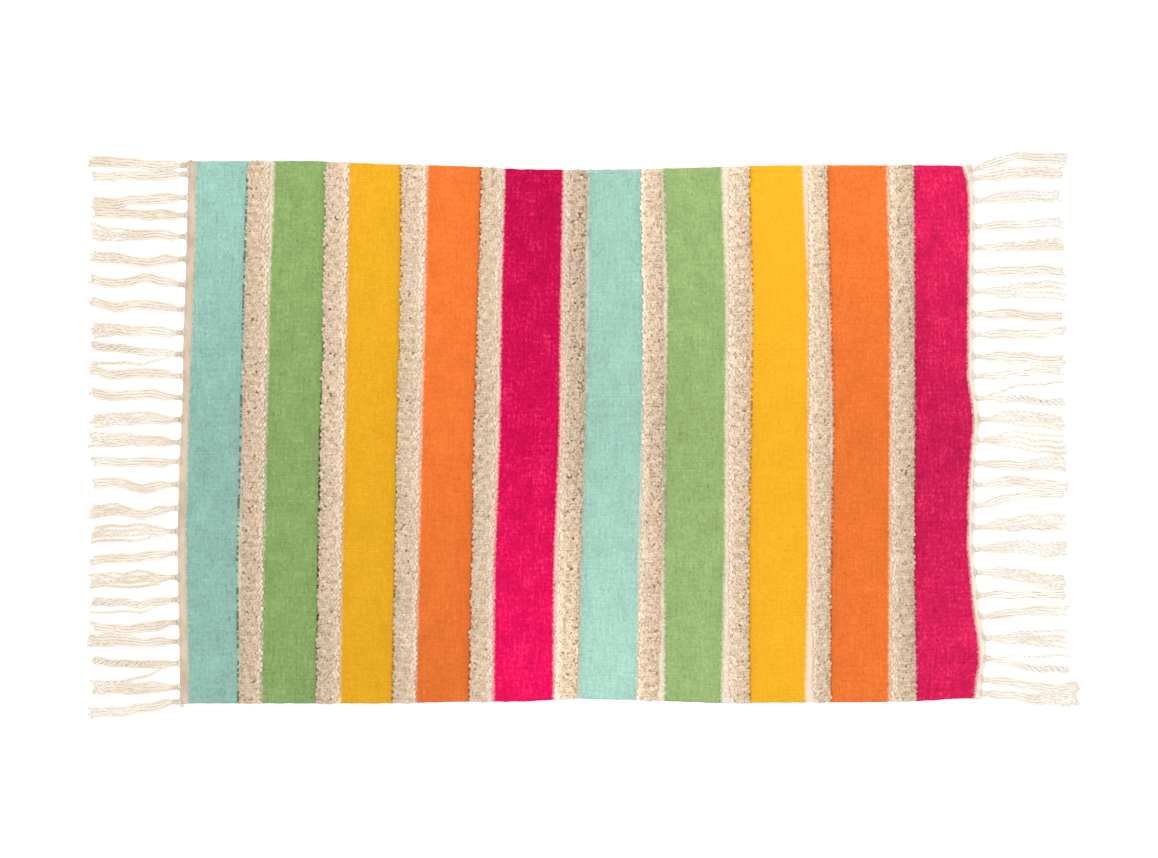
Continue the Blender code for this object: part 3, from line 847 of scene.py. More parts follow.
def natural_warp(name, light, dark, stretch):
    """Undyed cotton yarn: fine fibres along it, beige in places."""
    material, graph, shader = new_material(name, 0.92)
    graph.give(shader["Subsurface Weight"], YARN_SOFTNESS)
    graph.give(shader["Subsurface Radius"], YARN_GLOW)
    graph.give(shader["Subsurface Scale"], YARN_DEPTH * MM)
    place = graph.millimetres()
    mottle = graph.group(cotton_mottle, {"Place": place, "Stretch": stretch})
    shade = graph.plus(graph.times(mottle["Flecks"], 0.25), graph.times(mottle["Clouds"], 0.75))
    graph.give(shader["Base Color"], graph.mix(graph.span(shade, 0.15, 0.75), dark, light))
    fibres = graph.noise(place, 3.2, 3.0, 0.7, stretch=stretch)
    graph.relief(shader, fibres, YARN_RELIEF, 0.5)
    graph.give(shader["Roughness"], graph.span(fibres, 0.0, 1.0, 0.98, 0.86))
    return material


def pale_floor(colours):
    """A plain matt floor with a barely uneven tone."""
    material, graph, shader = new_material("pale floor", 0.9)
    cloud = graph.noise(graph.add("TexCoord").outputs["Object"], 1.5)
    colour = graph.mix(cloud, colours.floor, [part * 0.995 for part in colours.floor])
    graph.give(shader["Base Color"], colour)
    return material


# The cloth


def cloth_columns():
    """Straightened places of the cloth's columns, closer beside the stripes' edges."""
    marks = [CLOTH_START] + [edge.middle for edge in EDGES] + [CLOTH_STOP - LAST_STRIP, CLOTH_STOP]
    places = []
    for left, right in zip(marks, marks[1:]):
        steps = max(1, round((right - left - 2 * EDGE_HALO) / GRID_STEP))
        inner = list(np.linspace(left + EDGE_HALO, right - EDGE_HALO, steps + 1))
        if right - left < 2.5 * EDGE_HALO:
            inner = [(left + right) / 2]
        places += [left] + inner
    return np.array(places + [CLOTH_STOP]), marks


def cloth_shares():
    """Shares of the cloth's width for its rows, closer beside the selvedges."""
    inner = CLOTH_WIDTH - 2 * SELVEDGE_STEPS[-1]
    rows = np.linspace(SELVEDGE_STEPS[-1], CLOTH_WIDTH - SELVEDGE_STEPS[-1], round(inner / GRID_STEP) + 1)
    front = np.array(SELVEDGE_STEPS[:-1])
    return np.concatenate([front, rows, CLOTH_WIDTH - front[::-1]]) / CLOTH_WIDTH


def edge_places(y):
    """Where the stripe edges cross a line along the rug."""
    return [float(np.interp(-y, EDGE_PLACES, edge[: len(EDGE_PLACES)])) for edge in EDGES]


def stripe_edges(columns, marks):
    """For each column: its stripe, how far inside its nearest edge it lies, and how strong the painted gap
    shadow is there.
    """
    edges = np.array([marks[0] + END_PALE] + marks[1:-1])
    nearest = np.abs(columns[:, None] - edges[None, :]).argmin(axis=1)
    sign = np.where(nearest % 2 == 0, -1.0, 1.0)
    inside = np.clip((edges[nearest] - columns) * sign, -EDGE_HALO, EDGE_HALO)
    gap_shadow_strength = np.array([0.0] + [edge.gaps for edge in EDGES] + [0.0])[nearest]
    return nearest // 2, inside, gap_shadow_strength


def stripe_dyes(stripes, shares, colours):
    """The dye of every point, deeper or paler from back to front; alpha is how mottled it is."""
    dyes = np.ones((len(shares), len(stripes), 4))
    for column, number in enumerate(stripes):
        stripe = STRIPES[number]
        dye, pale = np.array(getattr(colours, stripe.dye)), np.array(colours.fleck)
        strength = np.interp(shares, DYE_SHARES, (stripe.front, stripe.middle, stripe.back))
        dyes[:, column, :3] = strength[:, None] * (dye + (pale - dye) * stripe.wash)
        dyes[:, column, 3] = stripe.mottle
    return dyes


def make_cloth(sizes, colours):
    """The striped cloth: a fine slab that follows the rug's outline and ripples."""
    columns, marks = cloth_columns()
    stripes, inside, gap_shadow_strength = stripe_edges(columns, marks)
    shares = cloth_shares()
    cloth, column_of, row_of = add_grid("striped_cloth", len(columns) - 1, len(shares) - 1)
    x = np.empty((len(shares), len(columns)))
    y = np.empty_like(x)
    for row, share in enumerate(shares):
        left, right = end_x(LEFT_END, "cloth", share), end_x(RIGHT_END, "cloth", share)
        ends = [left] + edge_places(float(cloth_y(0.0, share))) + [right - LAST_STRIP, right]
        x[row] = np.interp(columns, marks, ends)
        y[row] = cloth_y(x[row], share)
    for row, side in ((0, -1), (-1, 1)):
        wave = uneven(x[row], 0 * x[row], SELVEDGE_WAVE_LENGTH, side + 5) - 0.6
        y[row] += side * SELVEDGE_WAVE * wave
    z = lift(x, y)
    spot = (row_of, column_of)
    set_points(cloth, np.stack([x[spot], y[spot], z[spot]], axis=1) * MM)
    name_map(cloth, "cloth", columns[column_of] * MM + 0.5, (shares[row_of] - 0.5) * CLOTH_WIDTH * MM + 0.5)
    add_attribute(cloth, "inside", inside[column_of])
    add_attribute(cloth, "gap_shadow_strength", gap_shadow_strength[column_of])
    add_attribute(cloth, "dye", stripe_dyes(stripes, shares, colours)[spot], "FLOAT_COLOR")
    from_side = np.minimum(shares, 1 - shares)[row_of] * CLOTH_WIDTH
    from_end = np.minimum(columns - columns[0], columns[-1] - columns)[column_of]
    add_attribute(cloth, "rim", np.minimum(from_side, from_end + END_DROP_START))
    raise_sheet(cloth, sizes.cloth_thickness / MM)
    points = get_points(cloth) / MM
    low = lift(points[:, 0], points[:, 1])
    top = points[:, 2] - low > sizes.cloth_thickness / MM / 2
    relief = RELIEF * uneven(points[:, 0], points[:, 1], RELIEF_LENGTH, 3)
    relief -= np.interp(take_attribute(cloth, "rim"), SELVEDGE_STEPS, SELVEDGE_DROPS)
    points[:, 2] += np.where(top, relief, 0.0)
    set_points(cloth, points * MM)
    smooth(cloth)
    dress(cloth, striped_cotton(colours))
    return cloth


def name_map(piece, name, across, along):
    """Write a piece's UV map from two numbers for each of its points."""
    layer = piece.data.uv_layers.active or piece.data.uv_layers.new()
    layer.name = name
    corners = np.empty(len(piece.data.loops), np.int32)
    piece.data.loops.foreach_get("vertex_index", corners)
    places = np.stack([across[corners], along[corners]], axis=1)
    layer.data.foreach_set("uv", places.astype(np.float32).ravel())


# The pile


def model_tuft():
    """One cut tuft, a unit high and wide: a round foot that swells to a soft domed end."""
    deselect_all()
    bpy.ops.mesh.primitive_cylinder_add(
        vertices=TUFT_SIDES, radius=TUFT_FOOT, depth=0.1, location=(0, 0, 0.05), end_fill_type="NGON"
    )
    tuft = bpy.context.object
    only(tuft)
    bpy.ops.object.transform_apply(location=True)
    select_faces(tuft, lambda face: face.normal.z > 0.9)
    height, radius = 0.1, TUFT_FOOT
    for next_height, next_radius in TUFT_RINGS:
        move = {"value": (0, 0, next_height - height)}
        if height > 0.1:
            bpy.ops.mesh.extrude_region_move(TRANSFORM_OT_translate=move)
        else:
            bpy.ops.transform.translate(value=move["value"])
        grow = next_radius / radius
        bpy.ops.transform.resize(value=(grow, grow, 1.0), center_override=(0, 0, next_height))
        height, radius = next_height, next_radius
    bpy.ops.mesh.poke(offset=TUFT_PEAK)
    bpy.ops.object.mode_set(mode="OBJECT")
    return take_model(tuft)


def tuft_places(band, pitch, dice):
    """Where the tufts of a band stand: the share across it, the place along it and its ends."""
    front = read_table(SELVEDGES, "x", "front", band.front) - PILE_OVERHANG + END_INSET
    back = read_table(SELVEDGES, "x", "back", band.back) + PILE_OVERHANG - END_INSET
    rows = round((back - front) / pitch)
    across = (np.arange(TUFTS_ACROSS) + 0.5) / TUFTS_ACROSS - 0.5
    stagger = (np.arange(rows + 1) % 2 - 0.5) * 0.5 / TUFTS_ACROSS
    share = np.tile(across, rows + 1) + np.repeat(stagger, TUFTS_ACROSS)
    y = np.repeat(np.linspace(front, back, rows + 1), TUFTS_ACROSS)
    share = share + dice.uniform(-1, 1, len(y)) * TUFT_SHIFT
    y = y + dice.uniform(-1, 1, len(y)) * TUFT_JITTER
    end = np.clip((np.minimum(y - front, back - y)) / pitch, 0, 1)
    return share, y, end, np.where(y > (front + back) / 2, 1.0, -1.0)


def make_pile_band(index, band, tuft, sizes, material):
    """One band of pile: leaning cut tufts in staggered rows, splayed at its rim."""
    dice = np.random.RandomState(PILE_SEED + index)
    points, faces = tuft
    share, y, end, toward = tuft_places(band, sizes.tuft_pitch / MM, dice)
    count = len(y)
    x = band_x(band, y) + share * (band_width(band, y) - BAND_INSET) / SHARE_SPAN
    x = x + uneven(y, 0 * y, BAND_WANDER_LENGTH, index) * BAND_WANDER
    leaning = share * 2 * math.copysign(1, band.lean)
    beside, lit = np.clip(leaning, 0, 1) ** 2, np.clip(-leaning, 0, 1) ** 2
    slope = np.clip(-leaning, 0, 1)
    power = np.where(slope > 0, LIT_POWER, CROWN_POWER)
    crown = 1 - (CROWN_DROP + LIT_DROP * slope) * np.abs(2 * share) ** power
    paleness = np.interp(y, BAND_PLACES, PALENESS[index - 1][:3])
    speckle = PALENESS[index - 1].speckle
    crowded = np.clip(1 + PIT_GATHERING * uneven(x, y, PIT_CLUSTER, 20 + index), 0.1, 3)
    crowded = crowded + PIT_SIDE_SHARE * beside
    chance = PIT_SHARE * speckle**2 * crowded / paleness**DARK_PITS
    pit = dice.uniform(0, 1, count) < chance
    high = PILE_HEIGHT * crown * (1 + dice.uniform(-1, 1, count) * UNEVEN_HEIGHT)
    high = high * np.where(pit, PIT_HEIGHT, 1)
    wide = sizes.tuft_width / MM / 2 * (1 + dice.uniform(-1, 1, count) * UNEVEN_WIDTH)
    wide = wide * (1 + LIT_WIDER * lit)
    lean_x = band.lean * LEAN_SHARE + 2 * share * RIM_SPLAY + dice.normal(0, TUFT_WANDER, count)
    lean_x = lean_x + math.copysign(LIT_LEAN, band.lean) * lit
    lean_y = dice.normal(0, TUFT_WANDER, count) + toward * (1 - end) * RIM_SPLAY / 2
    turn = dice.uniform(0, 2 * np.pi, count)[:, None]
    unit_x, unit_y = turned(points[None, :, 0], points[None, :, 1], turn)
    up = np.repeat(points[None, :, 2], count, axis=0)
    bend = np.clip(up, 0, 1) ** TUFT_BEND
    made = np.stack(
        [
            x[:, None] + unit_x * wide[:, None] + lean_x[:, None] * bend,
            y[:, None] + unit_y * wide[:, None] + lean_y[:, None] * bend,
            CLOTH_THICKNESS + PIECE_GAP + up * high[:, None],
        ],
        axis=2,
    )
    piece = repeated_mesh(f"cut_pile_{index}", faces, made * MM)
    # How far up its tuft each point lies, which sets the painted shade down between the tufts; on the lit
    # side most of that painted shade is taken away
    depth = up * (high / PILE_HEIGHT / crown)[:, None]
    add_attribute(piece, "depth", (depth + (1 - depth) * LIT_SIDE * lit[:, None]).ravel())
    blotch = 0.5 + 0.5 * uneven(x, y, BLOTCH_LENGTH, 40 + index)
    tone = BLOTCH_SHARE * blotch + (1 - BLOTCH_SHARE) * dice.uniform(0, 1, count)
    # Painted light: the lit side's tufts go towards the lighter colour
    tone = np.clip(tone, 0, 1) + LIT_TONE * lit
    add_attribute(piece, "tone", np.repeat(tone, len(points)))
    add_attribute(piece, "speckle", np.full(made.shape[:2], speckle))
    # Painted light: the lit side is also made a little paler
    add_attribute(piece, "paleness", np.repeat(paleness * (1 + LIT_LIFT * lit), len(points)))
    dress(piece, material)
    return piece


# The fringes


def keep_apart(places, least):
    """Push neighbours in a rising row apart until no two are closer than this."""
    places = list(places)
    for _ in range(SPREADING_PASSES):
        for i in range(len(places) - 1):
            short = least - (places[i + 1] - places[i])
            if short > 0:
                places[i] -= short / 2
                places[i + 1] += short / 2
    return places


def strand_rows(tassels, dice):
    """Each strand's place across the rug at its four stations, from front to back."""
    stations = []
    for station in range(4):
        row = []
        for tassel in reversed(tassels):
            fan = FAN_DRIFT_SHARE * tassel.middle
            drift = (fan, tassel.middle, tassel.far, tassel.tip)[station]
            between = (tassel.middle_spread + tassel.tip_spread) / 2
            fan_spread = (STRANDS - 1) * STRAND_PITCH
            spreads = (fan_spread, tassel.middle_spread, between, tassel.tip_spread)
            astray = 0 if tassel.stray < 0 else STRANDS - 1
            for strand in range(STRANDS):
                offset = (strand / (STRANDS - 1) - 0.5) * spreads[station]
                if strand == astray:
                    offset += tassel.stray * STRAY_SHARES[station]
                row.append(tassel.knot + drift + offset + dice.uniform(-1, 1) * STRAND_WOBBLE)
        stations.append(keep_apart(row, LEAST_STRAND_PITCH))
    return stations


def share_at(end, y):
    """The share of the cloth's width at a place along its end."""
    front, back = cloth_y(end[0].cloth, 0), cloth_y(end[0].cloth, 1)
    return min(max((y - front) / (back - front), 0.0), 1.0)


def heading_z(end, share):
    """How high a row of the heading lies: as high as the cloth's edge beside it."""
    x = end_x(end, "cloth", share)
    return lift(x, cloth_y(x, share))


def smooth_line(stations, values, at):
    """A smooth line through values at uneven stations."""
    stations, values = np.array(stations, float), np.array(values, float)
    slope = np.gradient(values, stations)
    spot = np.clip(np.searchsorted(stations, at) - 1, 0, len(stations) - 2)
    width = stations[spot + 1] - stations[spot]
    t = (at - stations[spot]) / width
    return (
        (2 * t**3 - 3 * t**2 + 1) * values[spot]
        + (t**3 - 2 * t**2 + t) * width * slope[spot]
        + (3 * t**2 - 2 * t**3) * values[spot + 1]
        + (t**3 - t**2) * width * slope[spot + 1]
    )


def start_curve(name):
    """A curve object for round yarns, still without lines."""
    data = bpy.data.curves.new(name, "CURVE")
    data.dimensions = "3D"
    data.twist_mode = "Z_UP"
    data.bevel_depth = 1.0
    data.bevel_resolution = YARN_SIDES_EXTRA
    data.use_fill_caps = True
    return add_object(name, data)


def add_line(curve, points, radii):
    """One yarn or ply of a curve object, in millimetres."""
    line = curve.splines.new("POLY")
    line.points.add(len(points) - 1)
    four = np.concatenate([np.asarray(points) * MM, np.ones((len(points), 1))], axis=1)
    line.points.foreach_set("co", four.astype(np.float32).ravel())
    line.points.foreach_set("radius", (np.asarray(radii) * MM).astype(np.float32))
    line.use_smooth = True


def add_strand(curve, outward, stations, ys, pitches, base, sway, sizes, dice):
    """A strand of loose yarns, lying on the floor from just past its knot to its frayed end."""
    yarn, turn_length = sizes.yarn_width / MM / 2, sizes.yarn_turn / MM
    start, tip = stations[0], stations[-1]
    out = np.linspace(start, tip, max(8, round((tip - start) / YARN_STEP)))
    gone = out - start
    y = smooth_line(stations, ys, out)
    wave, shift = sway
    own = dice.uniform(0, 2 * math.pi)
    held = np.clip(gone / SWAY_START, 0, 1)
    y = y + held * (TASSEL_SWAY * np.sin(gone / wave + shift) + STRAND_SWAY * np.sin(gone / 4.3 + own))
    root = STRAND_ROOT_RISE + base + yarn
    loose = YARN_SPREAD * np.interp(out, stations, pitches)
    ease = np.clip(gone / (FAN_REACH - KNOT_REACH), 0, 1)
    ease = ease * ease * (3 - 2 * ease)
    fray = np.clip((out - tip + FRAY_LENGTH) / FRAY_LENGTH, 0, 1)
    angle = own + 2 * np.pi / (turn_length * dice.uniform(0.7, 1.4)) * gone
    for number in range(YARNS_IN_STRAND):
        side = 2 * math.pi * number / YARNS_IN_STRAND
        short = dice.uniform(0, 1) * FRAY_LENGTH / 3
        kept = out <= tip - short
        size = yarn * (ROOT_YARN_SHARE + (1 - ROOT_YARN_SHARE) * ease) * (1 - (1 - TIP_YARN_SHARE) * fray)
        apart = loose + FRAY_SPREAD * fray**2
        yarn_y = y + apart * np.cos(angle + side)
        middle = root * (1 - ease) + YARN_RISE * ease
        yarn_z = np.maximum(middle + YARN_LIFT * np.sin(angle + side), size)
        add_line(curve, np.stack([outward * out, yarn_y, yarn_z], axis=1)[kept], size[kept])


def add_neck(curve, edge, outward, knot, height, dice):
    """The warps that gather from the heading into a knot."""
    for yarn in range(NECK_YARNS):
        offset = (yarn / (NECK_YARNS - 1) - 0.5) * 2
        points = []
        for step, place in enumerate(NECK):
            drop = height * min(1.0, max(0.0, 1 - (step - 1) / HEAD_STEPS))
            wobble = dice.uniform(-NECK_WOBBLE, NECK_WOBBLE)
            points.append(
                (
                    outward * (abs(edge) + place.out),
                    knot + offset * place.spread + wobble,
                    drop + place.rise - NECK_ROUNDING * abs(offset),
                )
            )
        add_line(curve, points, [NECK_YARN_RADIUS * (1 - NECK_TAPER * step) for step in range(len(points))])


def model_knot():
    """One overhand knot: a round core with two crossing wraps."""
    deselect_all()
    bpy.ops.mesh.primitive_uv_sphere_add(segments=10, ring_count=6, radius=KNOT_CORE * MM)
    parts = [bpy.context.object]
    parts[0].scale = KNOT_CORE_SHAPE
    for place, tilt, lean in KNOT_WRAPS:
        deselect_all()
        bpy.ops.mesh.primitive_torus_add(
            major_segments=14, minor_segments=6, major_radius=WRAP_RADIUS * MM,
            minor_radius=WRAP_THICKNESS * MM, location=(place * MM, 0, 0),
            rotation=(0, math.pi / 2 + lean, tilt),
        )
        parts.append(bpy.context.object)
    knot = join(parts, "knot")
    only(knot)
    bpy.ops.object.transform_apply(location=True, rotation=True, scale=True)
    face_outward(knot)
    points, faces = take_model(knot)
    return points / MM * np.array(KNOT_SHAPE) * KNOT_SIZE, faces


def make_knots(name, model, places, dice):
    """A knot at every place, each a little turned and sized on its own."""
    points, faces = model
    copies = []
    for x, y, z, turn in places:
        roll, size = dice.uniform(-0.5, 0.5), dice.uniform(0.92, 1.08)
        across, up = turned(points[:, 1], points[:, 2], roll)
        along, across = turned(points[:, 0], across, turn)
        copies.append(np.stack([along, across, up], axis=1) * size + (x, y, z))
    return repeated_mesh(name, faces, np.array(copies) * MM)


def make_heading(name, end, outward):
    """The woven strip that holds the warps, ribbed by its close twined wefts."""
    heading, column_of, row_of = add_grid(name, HEADING_COLUMNS, HEADING_ROWS)
    share = row_of / HEADING_ROWS
    cut = end_x(end, "cloth", share)
    edge = end_x(end, "heading", share)
    inner = cut + outward * HEADING_GAP
    step = column_of / HEADING_COLUMNS if outward > 0 else 1 - column_of / HEADING_COLUMNS
    x = inner + (edge - inner) * step
    y = cloth_y(cut, share)
    z = lift(cut, y)
    set_points(heading, np.stack([x, y, z], axis=1) * MM)
    add_attribute(heading, "step", step)
    raise_sheet(heading, HEADING_THICKNESS)
    points = get_points(heading) / MM
    step = take_attribute(heading, "step")
    base = lift(np.interp(points[:, 1], y, cut), points[:, 1])
    top = points[:, 2] - base > HEADING_THICKNESS / 2
    ribs = np.abs(np.sin(points[:, 1] * math.pi / RIB_PITCH + RIB_SLANT * step)) - 0.6
    rim = np.where(step > 0.99, -HEADING_RIM_DROP, 0.0) + np.where(step < 0.01, HEADING_INNER_RISE, 0.0)
    points[:, 2] += np.where(top, HEADING_RELIEF * ribs + rim, 0.0)
    wave = outward * HEADING_WAVE * np.sin(points[:, 1] * HEADING_WAVE_PITCH)
    points[:, 0] += np.where(step > 0.99, wave, 0.0)
    set_points(heading, points * MM)
    smooth(heading)
    return heading


def curve_to_mesh(curve, name):
    """Turn a curve object into a mesh of closed tubes."""
    only(curve)
    bpy.ops.object.convert(target="MESH")
    made = bpy.context.object
    made.name = name
    edit_whole(made)
    bpy.ops.mesh.remove_doubles(threshold=0.01 * MM)
    bpy.ops.object.mode_set(mode="OBJECT")
    smooth(made)
    return made


def make_fringe(fringe, knot_model, sizes, materials):
    """One end of the rug: the heading, and on it the knots and their loose strands."""
    side, outward, end = fringe.side, fringe.outward, fringe.end
    placing, dice = random.Random(FRINGE_SEED + outward), random.Random(FRINGE_SEED * 10 + outward)
    yarns, necks, knots = start_curve(f"yarns_{side}"), start_curve(f"necks_{side}"), []
    stations = strand_rows(fringe.tassels, placing)
    for number, tassel in enumerate(reversed(fringe.tassels)):
        edge = float(read_table(end, "y", "heading", tassel.knot))
        height = float(heading_z(end, share_at(end, tassel.knot)))
        add_neck(necks.data, edge, outward, tassel.knot, height, dice)
        turn = (0.0 if outward > 0 else math.pi) + dice.uniform(-0.15, 0.15)
        drop = height * (1 - 2 / HEAD_STEPS)
        knots.append((edge + outward * fringe.knot_out, tassel.knot, drop + KNOT_RISE, turn))
        sway = (dice.uniform(5.0, 8.0), dice.uniform(0, 2 * math.pi))
        first, last = number * STRANDS, number * STRANDS + STRANDS - 1
        widths = [(row[last] - row[first]) / (STRANDS - 1) for row in stations]
        pitches = [STRAND_ROOT_PITCH] + [min(width, WIDEST_PITCH) for width in widths]
        for strand in range(STRANDS):
            ys = [row[number * STRANDS + strand] for row in stations]
            tip = min(tassel.reach + placing.uniform(-1, 1) * UNEVEN_ENDS, fringe.longest)
            share = (tip - fringe.far) / (fringe.longest - fringe.far)
            last_y = ys[2] + (ys[3] - ys[2]) * share
            root_y = tassel.knot + (strand - (STRANDS - 1) / 2) * STRAND_ROOT_PITCH
            outs = (abs(edge) + KNOT_REACH, abs(edge) + FAN_REACH, fringe.middle, fringe.far, tip)
            line = (root_y, ys[0], ys[1], ys[2], last_y)
            add_strand(yarns.data, outward, outs, line, pitches, height / HEAD_STEPS, sway, sizes, dice)
    parts = [
        make_heading(f"heading_{side}", end, outward),
        curve_to_mesh(yarns, f"strands_{side}"),
        curve_to_mesh(necks, f"gathers_{side}"),
        make_knots(f"knots_{side}", knot_model, knots, dice),
    ]
    for part, material in zip(parts, materials):
        dress(part, material)
    return join(parts, f"knotted_fringe_{side}")


# The stage


def add_camera():
    """The camera straight above the rug."""
    lens = bpy.data.cameras.new("camera")
    lens.lens, lens.sensor_width = CAMERA_LENS, CAMERA_SENSOR
    camera = add_object("camera", lens)
    camera.location = CAMERA_PLACE
    bpy.context.scene.camera = camera


def add_floor(colours):
    deselect_all()
    bpy.ops.mesh.primitive_plane_add(size=FLOOR_SIZE, location=(0, 0, 0))
    floor = bpy.context.object
    floor.name = "floor"
    dress(floor, pale_floor(colours))


def add_lamp(name, place, size, power):
    """A soft square lamp that faces the middle of the rug."""
    light = bpy.data.lights.new(name, "AREA")
    light.size, light.energy = size, power
    lamp = add_object(name, light)
    lamp.location = place
    lamp.rotation_euler = (math.acos(place[2] / math.hypot(*place)), 0, math.atan2(place[0], -place[1]))


def add_sky(strength):
    world = bpy.data.worlds.new("studio")
    world.use_nodes = True
    background = world.node_tree.nodes["Background"]
    background.inputs["Color"].default_value = (1, 1, 1, 1)
    background.inputs["Strength"].default_value = strength
    bpy.context.scene.world = world


# The add-on


def length(label, text, millimetres):
    return FloatProperty(name=label, description=text, default=millimetres * MM, unit="LENGTH", precision=4)


def colour(label, text, value):
    return FloatVectorProperty(
        name=label, description=text, default=value, size=3, min=0.0, max=1.0, subtype="COLOR"
    )


class RugSizes(bpy.types.PropertyGroup):
    """Sizes of the rug's yarns and tufts."""

    cloth_thickness: length("Cloth thickness", "How thick the striped cloth is", CLOTH_THICKNESS)
    tuft_pitch: length("Tuft pitch", "How far apart the rows of tufts stand", 3.1)
    tuft_width: length("Tuft width", "How wide the end of a cut tuft is", 5.2)
    yarn_width: length("Yarn width", "How thick each of a strand's yarns is", 1.35)
    yarn_turn: length("Yarn turn", "How far along a strand its yarns turn once", 28.0)


class RugColours(bpy.types.PropertyGroup):
    """Colours of the dyes, the undyed cotton and the floor."""

    aqua: colour("Aqua", "Dye of the aqua stripes", (0.208, 0.362, 0.304))
    green: colour("Green", "Dye of the green stripes", (0.193, 0.293, 0.100))
    yellow: colour("Yellow", "Dye of the yellow stripes", (0.585, 0.292, 0.0125))
    orange: colour("Orange", "Dye of the orange stripes", (0.615, 0.136, 0.024))
    pink: colour("Pink", "Dye of the pink stripes", (0.523, 0.0032, 0.067))
    fleck: colour("Fleck", "Undyed fibres that show in the stripes", (0.62, 0.54, 0.46))
    ground: colour("Ground", "Undyed wefts between the stripes", (0.72, 0.60, 0.475))
    gap: colour("Gap", "The shadow down beside the pile", (0.075, 0.026, 0.018))
    pile: colour("Pile", "Light tufts of the pile", (0.72, 0.575, 0.43))
    # Painted light: the colour of the tufts on the lit side
    pile_light: colour("Pile light", "Tufts on the side that faces the middle", (0.77, 0.665, 0.555))
    pile_shade: colour("Pile shade", "Darker tufts of the pile", (0.47, 0.35, 0.245))
    # Painted shade: the colour down between the tufts
    pile_root: colour("Pile root", "The pile down between its tufts", (0.33, 0.24, 0.155))
    yarn: colour("Yarn", "Undyed warp yarn at the left end", (0.80, 0.725, 0.63))
    yarn_shade: colour("Yarn shade", "Darker places of that yarn", (0.72, 0.605, 0.48))
    pale_yarn: colour("Pale yarn", "Undyed warp yarn at the right end", (0.86, 0.81, 0.74))
    pale_yarn_shade: colour("Pale yarn shade", "Darker places of that yarn", (0.79, 0.68, 0.56))
    knot: colour("Knot", "Tied yarn of the knots", (0.70, 0.60, 0.485))
    knot_shade: colour("Knot shade", "Darker places of the knots", (0.52, 0.42, 0.31))
    pale_knot: colour("Pale knot", "Tied yarn at the right end", (0.77, 0.68, 0.57))
    heading: colour("Heading", "The woven strip at the left end", (0.565, 0.46, 0.35))
    heading_shade: colour("Heading shade", "Darker places of that strip", (0.45, 0.345, 0.25))
    pale_heading: colour("Pale heading", "The woven strip at the right end", (0.78, 0.63, 0.525))
    floor: colour("Floor", "The floor under the rug", (0.92, 0.92, 0.92))


class RugLight(bpy.types.PropertyGroup):
    """Strength of the studio light."""

    lamp: FloatProperty(
        name="Lamp", description="Power of the soft lamp", default=80.0, min=0.0, unit="POWER"
    )
    sky: FloatProperty(name="Sky", description="Strength of the even light", default=0.82, min=0.0)


class RUG_OT_stage(bpy.types.Operator):
    """Add the camera, the floor and the light"""

    bl_idname = "rug.stage"
    bl_label = "Stage"

    def execute(self, context):
        light = context.scene.rug_light
        context.scene.view_settings.view_transform = "Standard"
        add_camera()
        add_floor(context.scene.rug_colours)
        add_lamp("lamp", LAMP_PLACE, LAMP_SIZE, light.lamp)
        add_sky(light.sky)
        return {"FINISHED"}


class RUG_OT_pile(bpy.types.Operator):
    """Make the nine bands of cut pile"""

    bl_idname = "rug.pile"
    bl_label = "Bands of pile"

    def execute(self, context):
        sizes = context.scene.rug_sizes
        material = cream_pile(context.scene.rug_colours)
        tuft = model_tuft()
        for index, band in enumerate(PILE_BANDS, start=1):
            piece = make_pile_band(index, band, tuft, sizes, material)
            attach(piece, "root")
            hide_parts(f"pile_band_{index}")
        return {"FINISHED"}


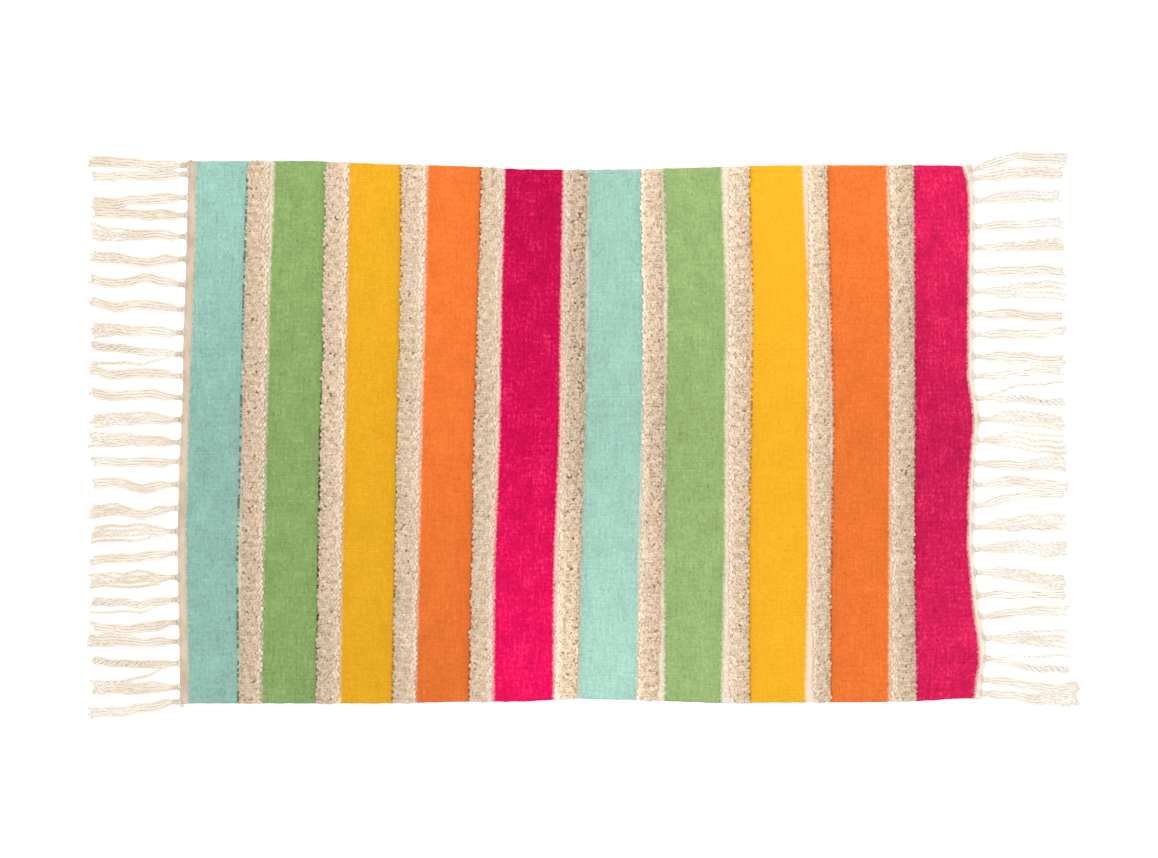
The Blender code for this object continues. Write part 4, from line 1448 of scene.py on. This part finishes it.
class RUG_OT_fringes(bpy.types.Operator):
    """Make the heading, the knots and the strands at both ends"""

    bl_idname = "rug.fringes"
    bl_label = "Knotted fringes"

    def execute(self, context):
        colours = context.scene.rug_colours
        knot = model_knot()
        for fringe in FRINGES:
            side = fringe.side
            strip, yarn, tied = [
                natural_warp(name, getattr(colours, light), getattr(colours, dark), grain)
                for name, light, dark, grain in COTTONS[side]
            ]
            piece = make_fringe(fringe, knot, context.scene.rug_sizes, (strip, yarn, tied, tied))
            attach(piece, "root")
            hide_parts(f"fringe_{side}")
        return {"FINISHED"}


class RUG_OT_cloth(bpy.types.Operator):
    """Lay the striped cloth, with the fringes that were made on it"""

    bl_idname = "rug.cloth"
    bl_label = "Striped cloth"

    def execute(self, context):
        fringes = [bpy.data.objects.get(f"knotted_fringe_{side}") for side in ("left", "right")]
        if not all(fringes):
            raise RuntimeError("make the fringes before the cloth")
        piece = make_cloth(context.scene.rug_sizes, context.scene.rug_colours)
        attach(piece, "root")
        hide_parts("ground")
        return {"FINISHED"}


class RUG_PT_panel(bpy.types.Panel):
    """The rug's sizes, colours and buttons"""

    bl_idname = "RUG_PT_panel"
    bl_label = "Tufted Rug"
    bl_space_type = "VIEW_3D"
    bl_region_type = "UI"
    bl_category = "Rug"

    def draw(self, context):
        for operator in OPERATORS:
            self.layout.operator(operator.bl_idname)
        for name in SETTINGS:
            box = self.layout.box()
            settings = getattr(context.scene, name)
            for part in type(settings).__annotations__:
                box.prop(settings, part)


SETTINGS = {"rug_sizes": RugSizes, "rug_colours": RugColours, "rug_light": RugLight}
OPERATORS = (RUG_OT_stage, RUG_OT_pile, RUG_OT_fringes, RUG_OT_cloth)
CLASSES = (*SETTINGS.values(), *OPERATORS, RUG_PT_panel)


def register():
    for item in CLASSES:
        bpy.utils.register_class(item)
    for name, kind in SETTINGS.items():
        setattr(bpy.types.Scene, name, PointerProperty(type=kind))


def unregister():
    for name in SETTINGS:
        delattr(bpy.types.Scene, name)
    for item in reversed(CLASSES):
        bpy.utils.unregister_class(item)


def main():
    register()
    bpy.ops.rug.stage()
    bpy.ops.rug.pile()
    bpy.ops.rug.fringes()
    bpy.ops.rug.cloth()


if __name__ == "__main__":
    main()
